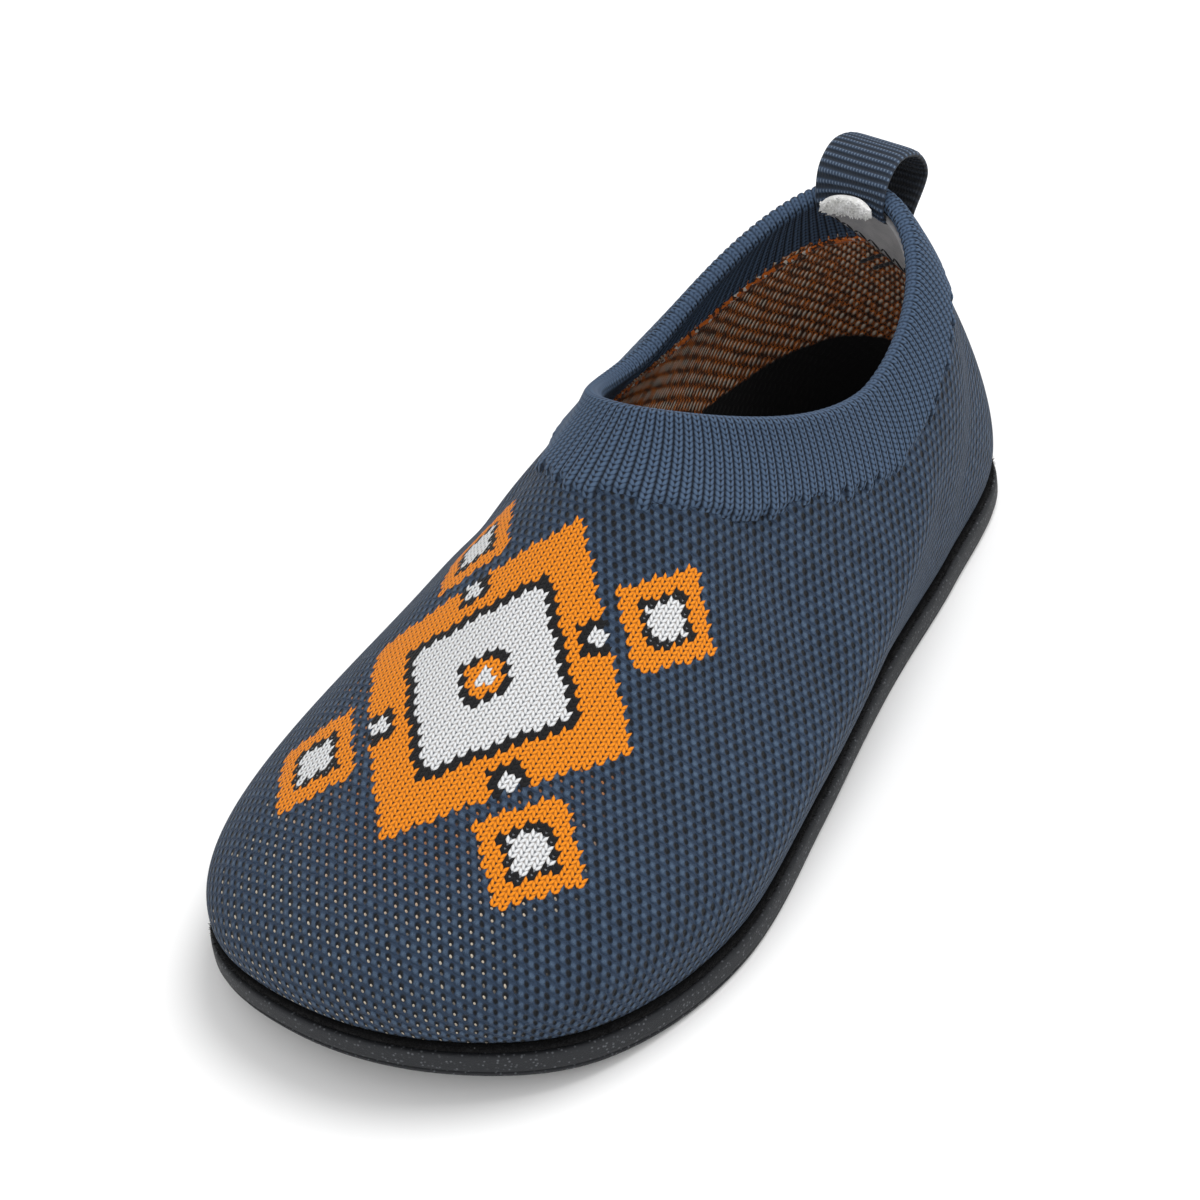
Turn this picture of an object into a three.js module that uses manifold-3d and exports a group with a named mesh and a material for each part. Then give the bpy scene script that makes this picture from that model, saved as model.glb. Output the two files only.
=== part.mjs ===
// Knitted slip-on barefoot shoe for the left foot, in millimetres.
// +X runs from heel to toe, +Y to the outer side of the foot and +Z up.
import * as THREE from "three";
import { mergeVertices } from "three/addons/utils/BufferGeometryUtils.js";
import Module from "manifold-3d";

// Sole and the stack above it
const SOLE_LENGTH = 165;
const BALL_WIDTH = 76.8;
const HEEL_WIDTH = 43.5;
const SOLE_THICKNESS = 4.6;
const SOLE_EDGE_ROUND = 0.8;
const TOE_SPRING = 6.8;
const TOE_SPRING_START = 0.74;
const HEEL_SPRING = 0.6;
const HEEL_SPRING_END = 0.08;
const WAIST_HOLLOW = 0.8;
const WAIST_FROM = 0.3;
const WAIST_TO = 0.62;
const BOARD_THICKNESS = 1.5;
const BOARD_INSET = 0.6;
const INSOLE_THICKNESS = 2.5;
const CLEARANCE = 0.3;

// Tread under the sole
const RIM_WIDTH = 6;
const TREAD_DEPTH = 1.2;
const LUG_PITCH = 11.5;
const LUG_WIDTH = 8;
const LUG_MARGIN = 0.8;
const LUG_ROOT = 0.6;
const LUG_ROW_AT = 0.66;

// Upper
const INSTEP_HEIGHT = 60.4;
const COLLAR_SIDE_HEIGHT = 45;
const COLLAR_BACK_HEIGHT = 58.4;
const COLLAR_TILT = 3.3;
const COLLAR_LENGTH = 65.6;
const COLLAR_WIDTH = 43.4;
const COLLAR_BACK = 9.3;
const COLLAR_SIDESTEP = -3;
const COLLAR_FRONT_POINT = 1.94;
const COLLAR_BACK_POINT = 2.1;
const COLLAR_SWEEP = 1.6;
const WALL = 2;
const FEATHER_INSET = 1;
const RIB_BAND_FRONT = 13;
const RIB_BAND_BACK = 10;
const RIB_STEP = 0.6;

// Pieces at the back of the collar
const PATCH_THICKNESS = 0.8;
const PATCH_TOP = 2.8;
const PATCH_HEIGHT = 7;
const PATCH_OUTER_REACH = 0.14;
const PATCH_INNER_REACH = 0.03;
const PAD_WIDTH = 9.6;
const PAD_HEIGHT = 3.6;
const PAD_THICKNESS = 1.8;
const PAD_DROP = 0.4;
const LOOP_WIDTH = 12.7;
const LOOP_THICKNESS = 1.2;
const LOOP_RISE = 6.4;
const LOOP_TUCK = 2.3;
const LOOP_BULGE = 9.6;
const LOOP_SEWN_FROM = 8.5;
const LOOP_SEWN_TO = 14.5;
const LOOP_EASE = 0.2;

// Facets
const AROUND = 64;
const WALL_ROWS = 14;
const BAND_ROWS = 3;
const LIP_ROWS = 5;
const CAP_STEPS = 4;
const PAD_COLUMNS = 12;
const HEEL_SEARCH = 0.14;
const HEEL_SEARCH_STEPS = 24;

const BALL = BALL_WIDTH / 2;
const HEEL = HEEL_WIDTH / 2;

// Stations round the last, from the tip of the toe by the outer side to the heel and back.
// along is a share of the sole's length and across a share of half the ball or heel width.
// Each rib of the upper leaves the sole with a handle swell wide and rise high, and meets the
// collar with a handle run wide and drop high: shares of half the ball width and of the instep.
const STATIONS = [
  { at: "toe tip", along: 1, across: -0.12, of: BALL, swell: 0.14, rise: 0.31, run: 0.71, drop: 0.33 },
  { at: "outer toes", along: 0.967, across: 0.4, of: BALL, swell: 0.17, rise: 0.34, run: 0.58, drop: 0.42 },
  { at: "little toe", along: 0.875, across: 0.82, of: BALL, swell: 0.21, rise: 0.35, run: 0.38, drop: 0.54 },
  { at: "outer ball", along: 0.71, across: 0.995, of: BALL, swell: 0.2, rise: 0.31, run: 0.31, drop: 0.51 },
  { at: "outer waist", along: 0.527, across: 0.87, of: BALL, swell: 0.2, rise: 0.26, run: 0.3, drop: 0.41 },
  { at: "outer shank", along: 0.335, across: 0.683, of: BALL, swell: 0.18, rise: 0.24, run: 0.28, drop: 0.31 },
  { at: "outer heel", along: 0.18, across: 1.02, of: HEEL, swell: 0.14, rise: 0.21, run: 0.24, drop: 0.23 },
  { at: "outer corner", along: 0.042, across: 0.76, of: HEEL, swell: 0.1, rise: 0.2, run: 0.13, drop: 0.17 },
  { at: "heel back", along: 0, across: 0.14, of: HEEL, swell: 0.105, rise: 0.25, run: 0.1, drop: 0.12 },
  { at: "inner corner", along: 0.03, across: -0.66, of: HEEL, swell: 0.16, rise: 0.27, run: 0.115, drop: 0.12 },
  { at: "inner heel", along: 0.161, across: -0.98, of: HEEL, swell: 0.24, rise: 0.23, run: 0.16, drop: 0.14 },
  { at: "inner shank", along: 0.335, across: -0.518, of: BALL, swell: 0.32, rise: 0.18, run: 0.23, drop: 0.17 },
  { at: "arch", along: 0.525, across: -0.62, of: BALL, swell: 0.33, rise: 0.16, run: 0.33, drop: 0.19 },
  { at: "inner ball", along: 0.708, across: -0.895, of: BALL, swell: 0.25, rise: 0.18, run: 0.38, drop: 0.33 },
  { at: "big toe", along: 0.86, across: -1, of: BALL, swell: 0.2, rise: 0.25, run: 0.32, drop: 0.43 },
  { at: "inner toe", along: 0.967, across: -0.69, of: BALL, swell: 0.16, rise: 0.3, run: 0.55, drop: 0.37 },
];

// Side of the sole from the ground up: up is a share of its thickness, inset of its edge round
const SOLE_SIDE = [
  { up: 0, inset: 1 },
  { up: 0.07, inset: 0.5 },
  { up: 0.19, inset: 0.35 },
  { up: 0.22, inset: 0.9 },
  { up: 0.28, inset: 0.9 },
  { up: 0.32, inset: 0 },
  { up: 0.86, inset: 0 },
  { up: 0.96, inset: 0.35 },
  { up: 1, inset: 1 },
];

const HEEL_AT = 0.5;
const BOARD_BASE = SOLE_THICKNESS + CLEARANCE;
const UPPER_BASE = BOARD_BASE + BOARD_THICKNESS + CLEARANCE;
const INSOLE_INSET = FEATHER_INSET + WALL + CLEARANCE;
const LINING_FACE = WALL + CLEARANCE;
const LIP_ROLL = (WALL + RIB_STEP) / 2;

function stationCurve(toPoint) {
  return new THREE.CatmullRomCurve3(STATIONS.map(toPoint), true, "catmullrom", 0.5);
}

const soleLine = stationCurve((row) => new THREE.Vector3(row.along * SOLE_LENGTH, row.across * row.of, 0));
const soleHandle = stationCurve((row) => new THREE.Vector3(row.swell * BALL, row.rise * INSTEP_HEIGHT, 0));
const collarHandle = stationCurve((row) => new THREE.Vector3(row.run * BALL, row.drop * INSTEP_HEIGHT, 0));

function wrap(s) {
  return s - Math.floor(s);
}

function outwardOf(line, s) {
  const step = 0.002;
  const ahead = line(wrap(s + step));
  const behind = line(wrap(s - step));
  return new THREE.Vector3(ahead.y - behind.y, behind.x - ahead.x, 0).normalize();
}

function soleOutward(s) {
  return outwardOf((at) => soleLine.getPoint(at), s);
}

// Height of the sole's underside where it curls up at toe and heel
function lift(x) {
  const toe = THREE.MathUtils.clamp((x / SOLE_LENGTH - TOE_SPRING_START) / (1 - TOE_SPRING_START), 0, 1.1);
  const heel = THREE.MathUtils.clamp((HEEL_SPRING_END - x / SOLE_LENGTH) / HEEL_SPRING_END, 0, 1.1);
  return TOE_SPRING * toe * toe + HEEL_SPRING * heel * heel;
}

function underside(x) {
  const waist = THREE.MathUtils.clamp((x / SOLE_LENGTH - WAIST_FROM) / (WAIST_TO - WAIST_FROM), 0, 1);
  return lift(x) + WAIST_HOLLOW * Math.sin(Math.PI * waist) ** 2;
}

function solePoint(s, inset, height) {
  const point = soleLine.getPoint(wrap(s)).addScaledVector(soleOutward(s), -inset);
  point.z = height(point.x);
  return point;
}

// Edge of the collar: a superellipse seen from above, high at the instep and at the back
function collarPoint(s) {
  const turn = 2 * Math.PI * s;
  const c = Math.cos(turn);
  const d = Math.sin(turn);
  const power = c > 0 ? COLLAR_FRONT_POINT : COLLAR_BACK_POINT;
  const reach = (Math.abs(c) ** power + Math.abs(d) ** power) ** (-1 / power);
  const end = c > 0 ? INSTEP_HEIGHT : COLLAR_BACK_HEIGHT;
  const climb = (end - COLLAR_SIDE_HEIGHT) * Math.abs(c) ** COLLAR_SWEEP;
  return new THREE.Vector3(
    COLLAR_BACK + (COLLAR_LENGTH / 2) * (1 + reach * c),
    COLLAR_SIDESTEP + (COLLAR_WIDTH / 2) * reach * d,
    COLLAR_SIDE_HEIGHT + climb + COLLAR_TILT * d,
  );
}

// One rib of the upper's outer face, from the sole (0) to the collar (1)
function rib(s) {
  const foot = solePoint(s, FEATHER_INSET, (x) => UPPER_BASE + lift(x));
  const lip = collarPoint(s);
  const low = soleHandle.getPoint(wrap(s));
  const high = collarHandle.getPoint(wrap(s));
  const lower = foot.clone().addScaledVector(soleOutward(s), low.x);
  lower.z += low.y;
  const upper = lip.clone().addScaledVector(outwardOf(collarPoint, s), high.x);
  upper.z -= high.y;
  return new THREE.CubicBezierCurve3(foot, lower, upper, lip);
}

// Where along a rib a point lies that is so far below the collar, measured on the face
function below(s, distance) {
  const curve = rib(s);
  const samples = 80;
  let travelled = 0;
  let last = curve.getPoint(1);
  if (distance === 0) {
    return 1;
  }
  for (let k = samples - 1; k >= 0; k -= 1) {
    const next = curve.getPoint(k / samples);
    travelled += next.distanceTo(last);
    if (travelled >= distance) {
      return k / samples + (travelled - distance) / next.distanceTo(last) / samples;
    }
    last = next;
  }
  return 0;
}

function faceNormal(s, t) {
  const step = 0.002;
  const around = rib(s + step).getPoint(t).sub(rib(s - step).getPoint(t));
  const normal = around.cross(rib(s).getTangent(t)).normalize();
  const level = THREE.MathUtils.smoothstep(t, 0, 0.15);
  return soleOutward(s).lerp(normal, level).normalize();
}

// A point so deep behind the outer face, or proud of it where depth is negative
function behind(s, t, depth) {
  const point = rib(s).getPoint(t).addScaledVector(faceNormal(s, t), -depth);
  if (t === 0) {
    point.z = UPPER_BASE + lift(point.x);
  }
  return point;
}

function ribBand(s) {
  const front = (1 + Math.cos(2 * Math.PI * s)) / 2;
  return below(s, THREE.MathUtils.lerp(RIB_BAND_BACK, RIB_BAND_FRONT, front));
}

function ring(toPoint) {
  return Array.from({ length: AROUND }, (_, k) => toPoint(k / AROUND));
}

function toGeometry(points, faces) {
  const geometry = new THREE.BufferGeometry();
  geometry.setAttribute("position", new THREE.Float32BufferAttribute(points.flatMap((p) => [p.x, p.y, p.z]), 3));
  geometry.setIndex(faces.flat());
  geometry.computeVertexNormals();
  return geometry;
}

function bandFaces(low, high) {
  const faces = [];
  for (let k = 0; k < AROUND; k += 1) {
    const next = (k + 1) % AROUND;
    faces.push([low + k, low + next, high + next], [low + k, high + next, high + k]);
  }
  return faces;
}

// Closes a ring with rungs from the outer to the inner side of the foot
function cap(points, start, height, faces, facesUp) {
  const half = AROUND / 2;
  const rungs = [];
  for (let k = 0; k <= half; k += 1) {
    const a = points[start + k];
    const b = points[start + ((AROUND - k) % AROUND)];
    const rung = [start + k];
    if (k > 0 && k < half) {
      for (let step = 1; step < CAP_STEPS; step += 1) {
        const point = a.clone().lerp(b, step / CAP_STEPS);
        point.z = height(point.x);
        rung.push(points.push(point) - 1);
      }
      rung.push(start + AROUND - k);
    }
    rungs.push(rung);
  }
  const put = (a, b, c) => faces.push(facesUp ? [a, b, c] : [a, c, b]);
  for (let k = 0; k < half; k += 1) {
    const near = rungs[k];
    const far = rungs[k + 1];
    for (let step = 0; step < CAP_STEPS; step += 1) {
      if (far.length > 1) {
        put(near[Math.min(step, near.length - 1)], far[step], far[step + 1]);
      }
      if (near.length > 1) {
        put(near[step], far[Math.min(step + 1, far.length - 1)], near[step + 1]);
      }
    }
  }
}

// A solid through rings from the bottom up, closed below and above
function cappedSolid(rings, lowHeight, highHeight) {
  const points = rings.flat();
  const faces = [];
  for (let row = 0; row + 1 < rings.length; row += 1) {
    faces.push(...bandFaces(row * AROUND, (row + 1) * AROUND));
  }
  cap(points, 0, lowHeight, faces, false);
  cap(points, (rings.length - 1) * AROUND, highHeight, faces, true);
  return toGeometry(points, faces);
}

// A hollow wall through rings that run up its outer face and down its inner one
function wallSolid(rings) {
  const faces = rings.flatMap((_, row) => bandFaces(row * AROUND, ((row + 1) % rings.length) * AROUND));
  return toGeometry(rings.flat(), faces);
}

// A bent plate between two faces over u and v from 0 to 1: u turned to v points from under to over
function plateSolid(columns, rows, under, over) {
  const points = [];
  for (const face of [under, over]) {
    for (let j = 0; j <= rows; j += 1) {
      for (let k = 0; k <= columns; k += 1) {
        points.push(face(k / columns, j / rows));
      }
    }
  }
  const size = (columns + 1) * (rows + 1);
  const at = (k, j) => j * (columns + 1) + k;
  const faces = [];
  const quad = (a, b, c, d) => faces.push([a, b, c], [a, c, d]);
  for (let j = 0; j < rows; j += 1) {
    for (let k = 0; k < columns; k += 1) {
      quad(at(k, j), at(k, j + 1), at(k + 1, j + 1), at(k + 1, j));
      quad(size + at(k, j), size + at(k + 1, j), size + at(k + 1, j + 1), size + at(k, j + 1));
    }
  }
  for (let k = 0; k < columns; k += 1) {
    quad(at(k, 0), at(k + 1, 0), size + at(k + 1, 0), size + at(k, 0));
    quad(at(k + 1, rows), at(k, rows), size + at(k, rows), size + at(k + 1, rows));
  }
  for (let j = 0; j < rows; j += 1) {
    quad(at(0, j + 1), at(0, j), size + at(0, j), size + at(0, j + 1));
    quad(at(columns, j), at(columns, j + 1), size + at(columns, j + 1), size + at(columns, j));
  }
  return toGeometry(points, faces);
}

const wasm = await Module();
wasm.setup();

function toManifold(geometry) {
  const bare = geometry.clone();
  bare.deleteAttribute("normal");
  bare.deleteAttribute("uv");
  const merged = mergeVertices(bare);
  const vertProperties = new Float32Array(merged.attributes.position.array);
  const triVerts = new Uint32Array(merged.index.array);
  return new wasm.Manifold(new wasm.Mesh({ numProp: 3, vertProperties, triVerts }));
}

function fromManifold(solid) {
  const mesh = solid.getMesh();
  const geometry = new THREE.BufferGeometry();
  geometry.setAttribute("position", new THREE.BufferAttribute(mesh.vertProperties, 3));
  geometry.setIndex(new THREE.BufferAttribute(mesh.triVerts, 1));
  geometry.computeVertexNormals();
  return geometry;
}

function isInside(outline, x, y) {
  let inside = false;
  outline.forEach((a, k) => {
    const b = outline[(k + 1) % outline.length];
    if (a.y > y !== b.y > y && x < a.x + ((y - a.y) / (b.y - a.y)) * (b.x - a.x)) {
      inside = !inside;
    }
  });
  return inside;
}

// Six-sided lug that stands out of the recess down to the rim's level
function lugGeometry(x, y) {
  const corners = Array.from({ length: 6 }, (_, k) => {
    const turn = (Math.PI / 3) * k;
    const reach = LUG_WIDTH / Math.sqrt(3);
    return new THREE.Vector3(x + reach * Math.cos(turn), y + reach * Math.sin(turn), 0);
  });
  const level = (extra) => corners.map((p) => new THREE.Vector3(p.x, p.y, underside(p.x) + extra));
  const points = [...level(0), ...level(TREAD_DEPTH + LUG_ROOT)];
  const faces = [];
  for (let k = 0; k < 6; k += 1) {
    const next = (k + 1) % 6;
    faces.push([k, next, 6 + next], [k, 6 + next, 6 + k]);
  }
  for (let k = 1; k < 5; k += 1) {
    faces.push([0, k + 1, k], [6, 6 + k, 7 + k]);
  }
  return toGeometry(points, faces);
}

function lugCentres() {
  const limit = ring((s) => solePoint(s, RIM_WIDTH + LUG_MARGIN + LUG_WIDTH / 2, () => 0));
  const rowStep = (LUG_PITCH * Math.sqrt(3)) / 2;
  const centres = [];
  const reach = Math.ceil(SOLE_LENGTH / LUG_PITCH);
  for (let row = -reach; row <= reach; row += 1) {
    for (let column = -reach; column <= reach; column += 1) {
      const x = LUG_ROW_AT * SOLE_LENGTH + row * rowStep;
      const y = (column + (row % 2 === 0 ? 0 : 0.5)) * LUG_PITCH;
      if (isInside(limit, x, y)) {
        centres.push([x, y]);
      }
    }
  }
  return centres;
}

function outsoleGeometry() {
  const recess = (x) => underside(x) + TREAD_DEPTH;
  const top = (x) => lift(x) + SOLE_THICKNESS;
  const rings = [
    ring((s) => solePoint(s, RIM_WIDTH + CLEARANCE, recess)),
    ring((s) => solePoint(s, RIM_WIDTH, underside)),
  ];
  for (const { up, inset } of SOLE_SIDE) {
    const height = (x) => THREE.MathUtils.lerp(underside(x), top(x), up);
    rings.push(ring((s) => solePoint(s, inset * SOLE_EDGE_ROUND, height)));
  }
  let sole = toManifold(cappedSolid(rings, recess, top));
  for (const [x, y] of lugCentres()) {
    sole = sole.add(toManifold(lugGeometry(x, y)));
  }
  return fromManifold(sole);
}

// Flat layer that follows the sole, with its edge eased by a share of its thickness
function layerGeometry(inset, base, thickness) {
  const ease = thickness / 4;
  const levels = [
    [inset + ease, 0],
    [inset, ease],
    [inset, thickness - ease],
    [inset + ease, thickness],
  ];
  const rings = levels.map(([edge, up]) => ring((s) => solePoint(s, edge, (x) => base + up + lift(x))));
  return cappedSolid(rings, (x) => base + lift(x), (x) => base + thickness + lift(x));
}

function upperGeometry() {
  const bandStart = ring(ribBand);
  const rows = [];
  const addRow = (toT, depth) => {
    rows.push(bandStart.map((start, k) => behind(k / AROUND, toT(start), depth)));
  };
  for (let k = 0; k <= WALL_ROWS; k += 1) {
    addRow((start) => (start * k) / WALL_ROWS, 0);
  }
  for (let k = 0; k <= BAND_ROWS; k += 1) {
    const share = k === 0 ? 0.05 : k / BAND_ROWS;
    addRow((start) => start + (1 - start) * share, -RIB_STEP);
  }
  for (let k = 1; k <= LIP_ROWS; k += 1) {
    const turn = (Math.PI * k) / (LIP_ROWS + 1);
    rows.push(ring((s) => {
      const middle = behind(s, 1, WALL - LIP_ROLL);
      middle.addScaledVector(faceNormal(s, 1), LIP_ROLL * Math.cos(turn));
      return middle.addScaledVector(rib(s).getTangent(1), LIP_ROLL * Math.sin(turn));
    }));
  }
  for (let k = BAND_ROWS; k >= 0; k -= 1) {
    addRow((start) => start + ((1 - start) * k) / BAND_ROWS, WALL);
  }
  for (let k = WALL_ROWS - 1; k >= 0; k -= 1) {
    addRow((start) => (start * k) / WALL_ROWS, WALL);
  }
  return wallSolid(rows);
}

function heelPatchGeometry() {
  const span = PATCH_OUTER_REACH + PATCH_INNER_REACH;
  const face = (depth) => (u, v) => {
    const s = HEEL_AT - PATCH_OUTER_REACH + span * u;
    const height = PATCH_HEIGHT * Math.max(Math.sin(Math.PI * u) ** 0.7, 0.15);
    return behind(s, below(s, PATCH_TOP + height * (1 - v)), depth);
  };
  return plateSolid(20, 4, face(LINING_FACE + PATCH_THICKNESS), face(LINING_FACE));
}

// A point on or behind the heel's face, so far to the outer side of its middle and below the collar
function heelSpot(sideways, distance, depth) {
  let outer = HEEL_AT - HEEL_SEARCH;
  let inner = HEEL_AT + HEEL_SEARCH;
  let spot = null;
  for (let step = 0; step < HEEL_SEARCH_STEPS; step += 1) {
    const s = (outer + inner) / 2;
    spot = behind(s, below(s, distance), depth);
    if (spot.y > COLLAR_SIDESTEP + sideways) {
      outer = s;
    } else {
      inner = s;
    }
  }
  return spot;
}

// Middle of the collar's rolled lip
function lipMiddle(sideways) {
  return heelSpot(sideways, 0, WALL - LIP_ROLL);
}

function heelPadGeometry() {
  const seat = LIP_ROLL + LOOP_EASE + LOOP_THICKNESS + 2 * CLEARANCE;
  const column = (u) => {
    const middle = lipMiddle((0.5 - u) * PAD_WIDTH);
    const sideways = 1 - Math.abs(2 * u - 1) ** 3;
    return { middle, sideways };
  };
  const columns = Array.from({ length: PAD_COLUMNS + 1 }, (_, k) => column(k / PAD_COLUMNS));
  const face = (isFront) => (u, v) => {
    const { middle, sideways } = columns[Math.round(u * PAD_COLUMNS)];
    const upright = 1 - Math.abs(2 * v - 1) ** 2;
    const crown = Math.sqrt(Math.max(sideways * upright, 0));
    const bulk = isFront ? 0.45 + 0.55 * crown : 0.3 * (1 - crown);
    const height = (v - 0.5) * PAD_HEIGHT * Math.sqrt(Math.max(sideways, 0.2));
    return middle.clone().add(new THREE.Vector3(seat + PAD_THICKNESS * bulk, 0, height - PAD_DROP));
  };
  return plateSolid(PAD_COLUMNS, 6, face(true), face(false));
}

// Middle line of one strand of the loop's webbing, from inside the collar over to its back
function loopStrand(sideways) {
  const half = LOOP_THICKNESS / 2;
  const inner = LINING_FACE + LOOP_EASE + half;
  const outer = RIB_STEP + CLEARANCE + half;
  const lip = lipMiddle(0);
  const over = (forward, up) => new THREE.Vector3(lip.x + forward, COLLAR_SIDESTEP + sideways, lip.z + up);
  const front = LIP_ROLL + CLEARANCE + LOOP_EASE + half;
  const side = lipMiddle(sideways);
  side.x += front;
  return new THREE.CatmullRomCurve3([
    heelSpot(sideways, LOOP_TUCK, inner),
    heelSpot(sideways, LOOP_TUCK / 4, inner),
    side,
    over(front - 0.1 * LOOP_RISE, 0.6 * LOOP_RISE),
    over(-0.25 * LOOP_BULGE, LOOP_RISE - half),
    over(-0.8 * LOOP_BULGE, 0.55 * LOOP_RISE),
    over(-LOOP_BULGE, -0.2 * LOOP_RISE),
    heelSpot(sideways, LOOP_SEWN_FROM, -outer),
    heelSpot(sideways, RIB_BAND_BACK + CLEARANCE, -outer),
    heelSpot(sideways, LOOP_SEWN_TO, -outer + RIB_STEP),
  ]);
}

function pullLoopGeometry() {
  const near = 0.02;
  const strands = new Map();
  const strand = (v) => {
    if (!strands.has(v)) {
      strands.set(v, loopStrand((v - 0.5) * LOOP_WIDTH));
    }
    return strands.get(v);
  };
  const face = (side) => (u, v) => {
    const along = strand(v).getTangent(u);
    const outerSide = strand(Math.min(v + near, 1)).getPoint(u);
    const across = outerSide.sub(strand(Math.max(v - near, 0)).getPoint(u));
    const normal = across.cross(along).normalize();
    return strand(v).getPoint(u).addScaledVector(normal, (side * LOOP_THICKNESS) / 2);
  };
  return plateSolid(34, 4, face(1), face(-1));
}

function piece(name, geometry, color, roughness) {
  const material = new THREE.MeshStandardMaterial({ color, roughness, metalness: 0 });
  const mesh = new THREE.Mesh(geometry, material);
  mesh.name = name;
  return mesh;
}

const shoe = new THREE.Group();
shoe.add(
  piece("outsole", outsoleGeometry(), 0x33353a, 0.85),
  piece("lasting_board", layerGeometry(BOARD_INSET, BOARD_BASE, BOARD_THICKNESS), 0x111114, 0.95),
  piece("insole", layerGeometry(INSOLE_INSET, UPPER_BASE, INSOLE_THICKNESS), 0x0d0d10, 0.95),
  piece("upper", upperGeometry(), 0x2c4054, 0.9),
  piece("heel_patch", heelPatchGeometry(), 0x6b6a6c, 0.95),
  piece("heel_pad", heelPadGeometry(), 0xf2f2f0, 1),
  piece("pull_loop", pullLoopGeometry(), 0x2a3442, 0.8),
);

// The origin is on the ground, below the middle of the whole shoe
const bounds = new THREE.Box3().setFromObject(shoe);
const centre = bounds.getCenter(new THREE.Vector3());
shoe.position.set(-centre.x, -centre.y, -bounds.min.z);

export default shoe;
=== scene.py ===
# Child's knitted slip-on barefoot shoe, left foot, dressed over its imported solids.
# Lengths are in millimetres on the last, from the heel at x = 0 to the toe, and become
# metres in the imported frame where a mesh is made.
import math

import bmesh
import bpy
import numpy as np
from mathutils import Matrix, Vector


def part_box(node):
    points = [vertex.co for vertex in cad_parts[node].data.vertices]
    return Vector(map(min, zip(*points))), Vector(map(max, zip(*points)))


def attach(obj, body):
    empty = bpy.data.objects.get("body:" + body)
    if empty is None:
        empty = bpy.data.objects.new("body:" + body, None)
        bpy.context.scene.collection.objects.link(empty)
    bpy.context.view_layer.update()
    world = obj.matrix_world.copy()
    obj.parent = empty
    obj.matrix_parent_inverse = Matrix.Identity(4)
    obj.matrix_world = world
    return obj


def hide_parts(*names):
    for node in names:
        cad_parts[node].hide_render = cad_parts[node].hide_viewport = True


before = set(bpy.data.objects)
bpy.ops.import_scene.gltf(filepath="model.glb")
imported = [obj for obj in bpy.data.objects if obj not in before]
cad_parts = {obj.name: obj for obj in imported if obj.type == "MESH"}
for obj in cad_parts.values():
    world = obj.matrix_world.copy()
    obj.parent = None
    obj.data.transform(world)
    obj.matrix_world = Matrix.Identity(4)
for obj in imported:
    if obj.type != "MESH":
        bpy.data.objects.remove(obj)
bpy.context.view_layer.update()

MM = 0.001

# Last and sole
SOLE_LENGTH = 165.0
BALL = 76.8 / 2
HEEL = 43.5 / 2
SOLE_THICKNESS = 4.6
SOLE_EDGE_ROUND = 0.8
TOE_SPRING = 6.8
TOE_SPRING_START = 0.74
HEEL_SPRING = 0.6
HEEL_SPRING_END = 0.08
WAIST_HOLLOW = 0.8
WAIST_FROM = 0.3
WAIST_TO = 0.62
BOARD_THICKNESS = 1.5
BOARD_INSET = 0.6
CLEARANCE = 0.3
RIM_WIDTH = 6.0
TREAD_DEPTH = 1.2
LUG_PITCH = 11.5
LUG_WIDTH = 8.0
LUG_MARGIN = 0.8
LUG_ROW_AT = 0.66
LUG_CHAMFER = 0.35

# Upper
INSTEP_HEIGHT = 60.4
COLLAR_SIDE_HEIGHT = 45.0
COLLAR_BACK_HEIGHT = 58.4
COLLAR_TILT = 3.3
COLLAR_LENGTH = 65.6
COLLAR_WIDTH = 43.4
COLLAR_BACK = 9.3
COLLAR_SIDESTEP = -3.0
COLLAR_FRONT_POINT = 1.94
COLLAR_BACK_POINT = 2.1
COLLAR_SWEEP = 1.6
WALL = 2.0
KNIT_THICKNESS = 0.8
FEATHER_INSET = 1.0
RIB_BAND_FRONT = 13.0
RIB_BAND_BACK = 10.0
RIB_STEP = 0.6
RIB_COUNT = 140
RIB_RELIEF = 0.34
HEEL_AT = 0.5

# Pieces at the back of the collar
PATCH_THICKNESS = 0.8
PATCH_TOP = 2.8
PATCH_HEIGHT = 7.0
PATCH_OUTER_REACH = 0.14
PATCH_INNER_REACH = 0.03
PAD_WIDTH = 9.6
PAD_HEIGHT = 3.6
PAD_THICKNESS = 1.8
PAD_DROP = 0.4
LOOP_WIDTH = 12.7
LOOP_THICKNESS = 1.2
LOOP_RISE = 6.4
LOOP_TUCK = 2.3
LOOP_BULGE = 9.6
LOOP_SEWN_FROM = 8.5
LOOP_SEWN_TO = 14.5
LOOP_EASE = 0.2
LOOP_RIB_PITCH = 1.15
LOOP_RIB_RELIEF = 0.3

BOARD_BASE = SOLE_THICKNESS + CLEARANCE
UPPER_BASE = BOARD_BASE + BOARD_THICKNESS + CLEARANCE
LINING_FACE = WALL + CLEARANCE
LIP_ROLL = (WALL + RIB_STEP) / 2

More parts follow.
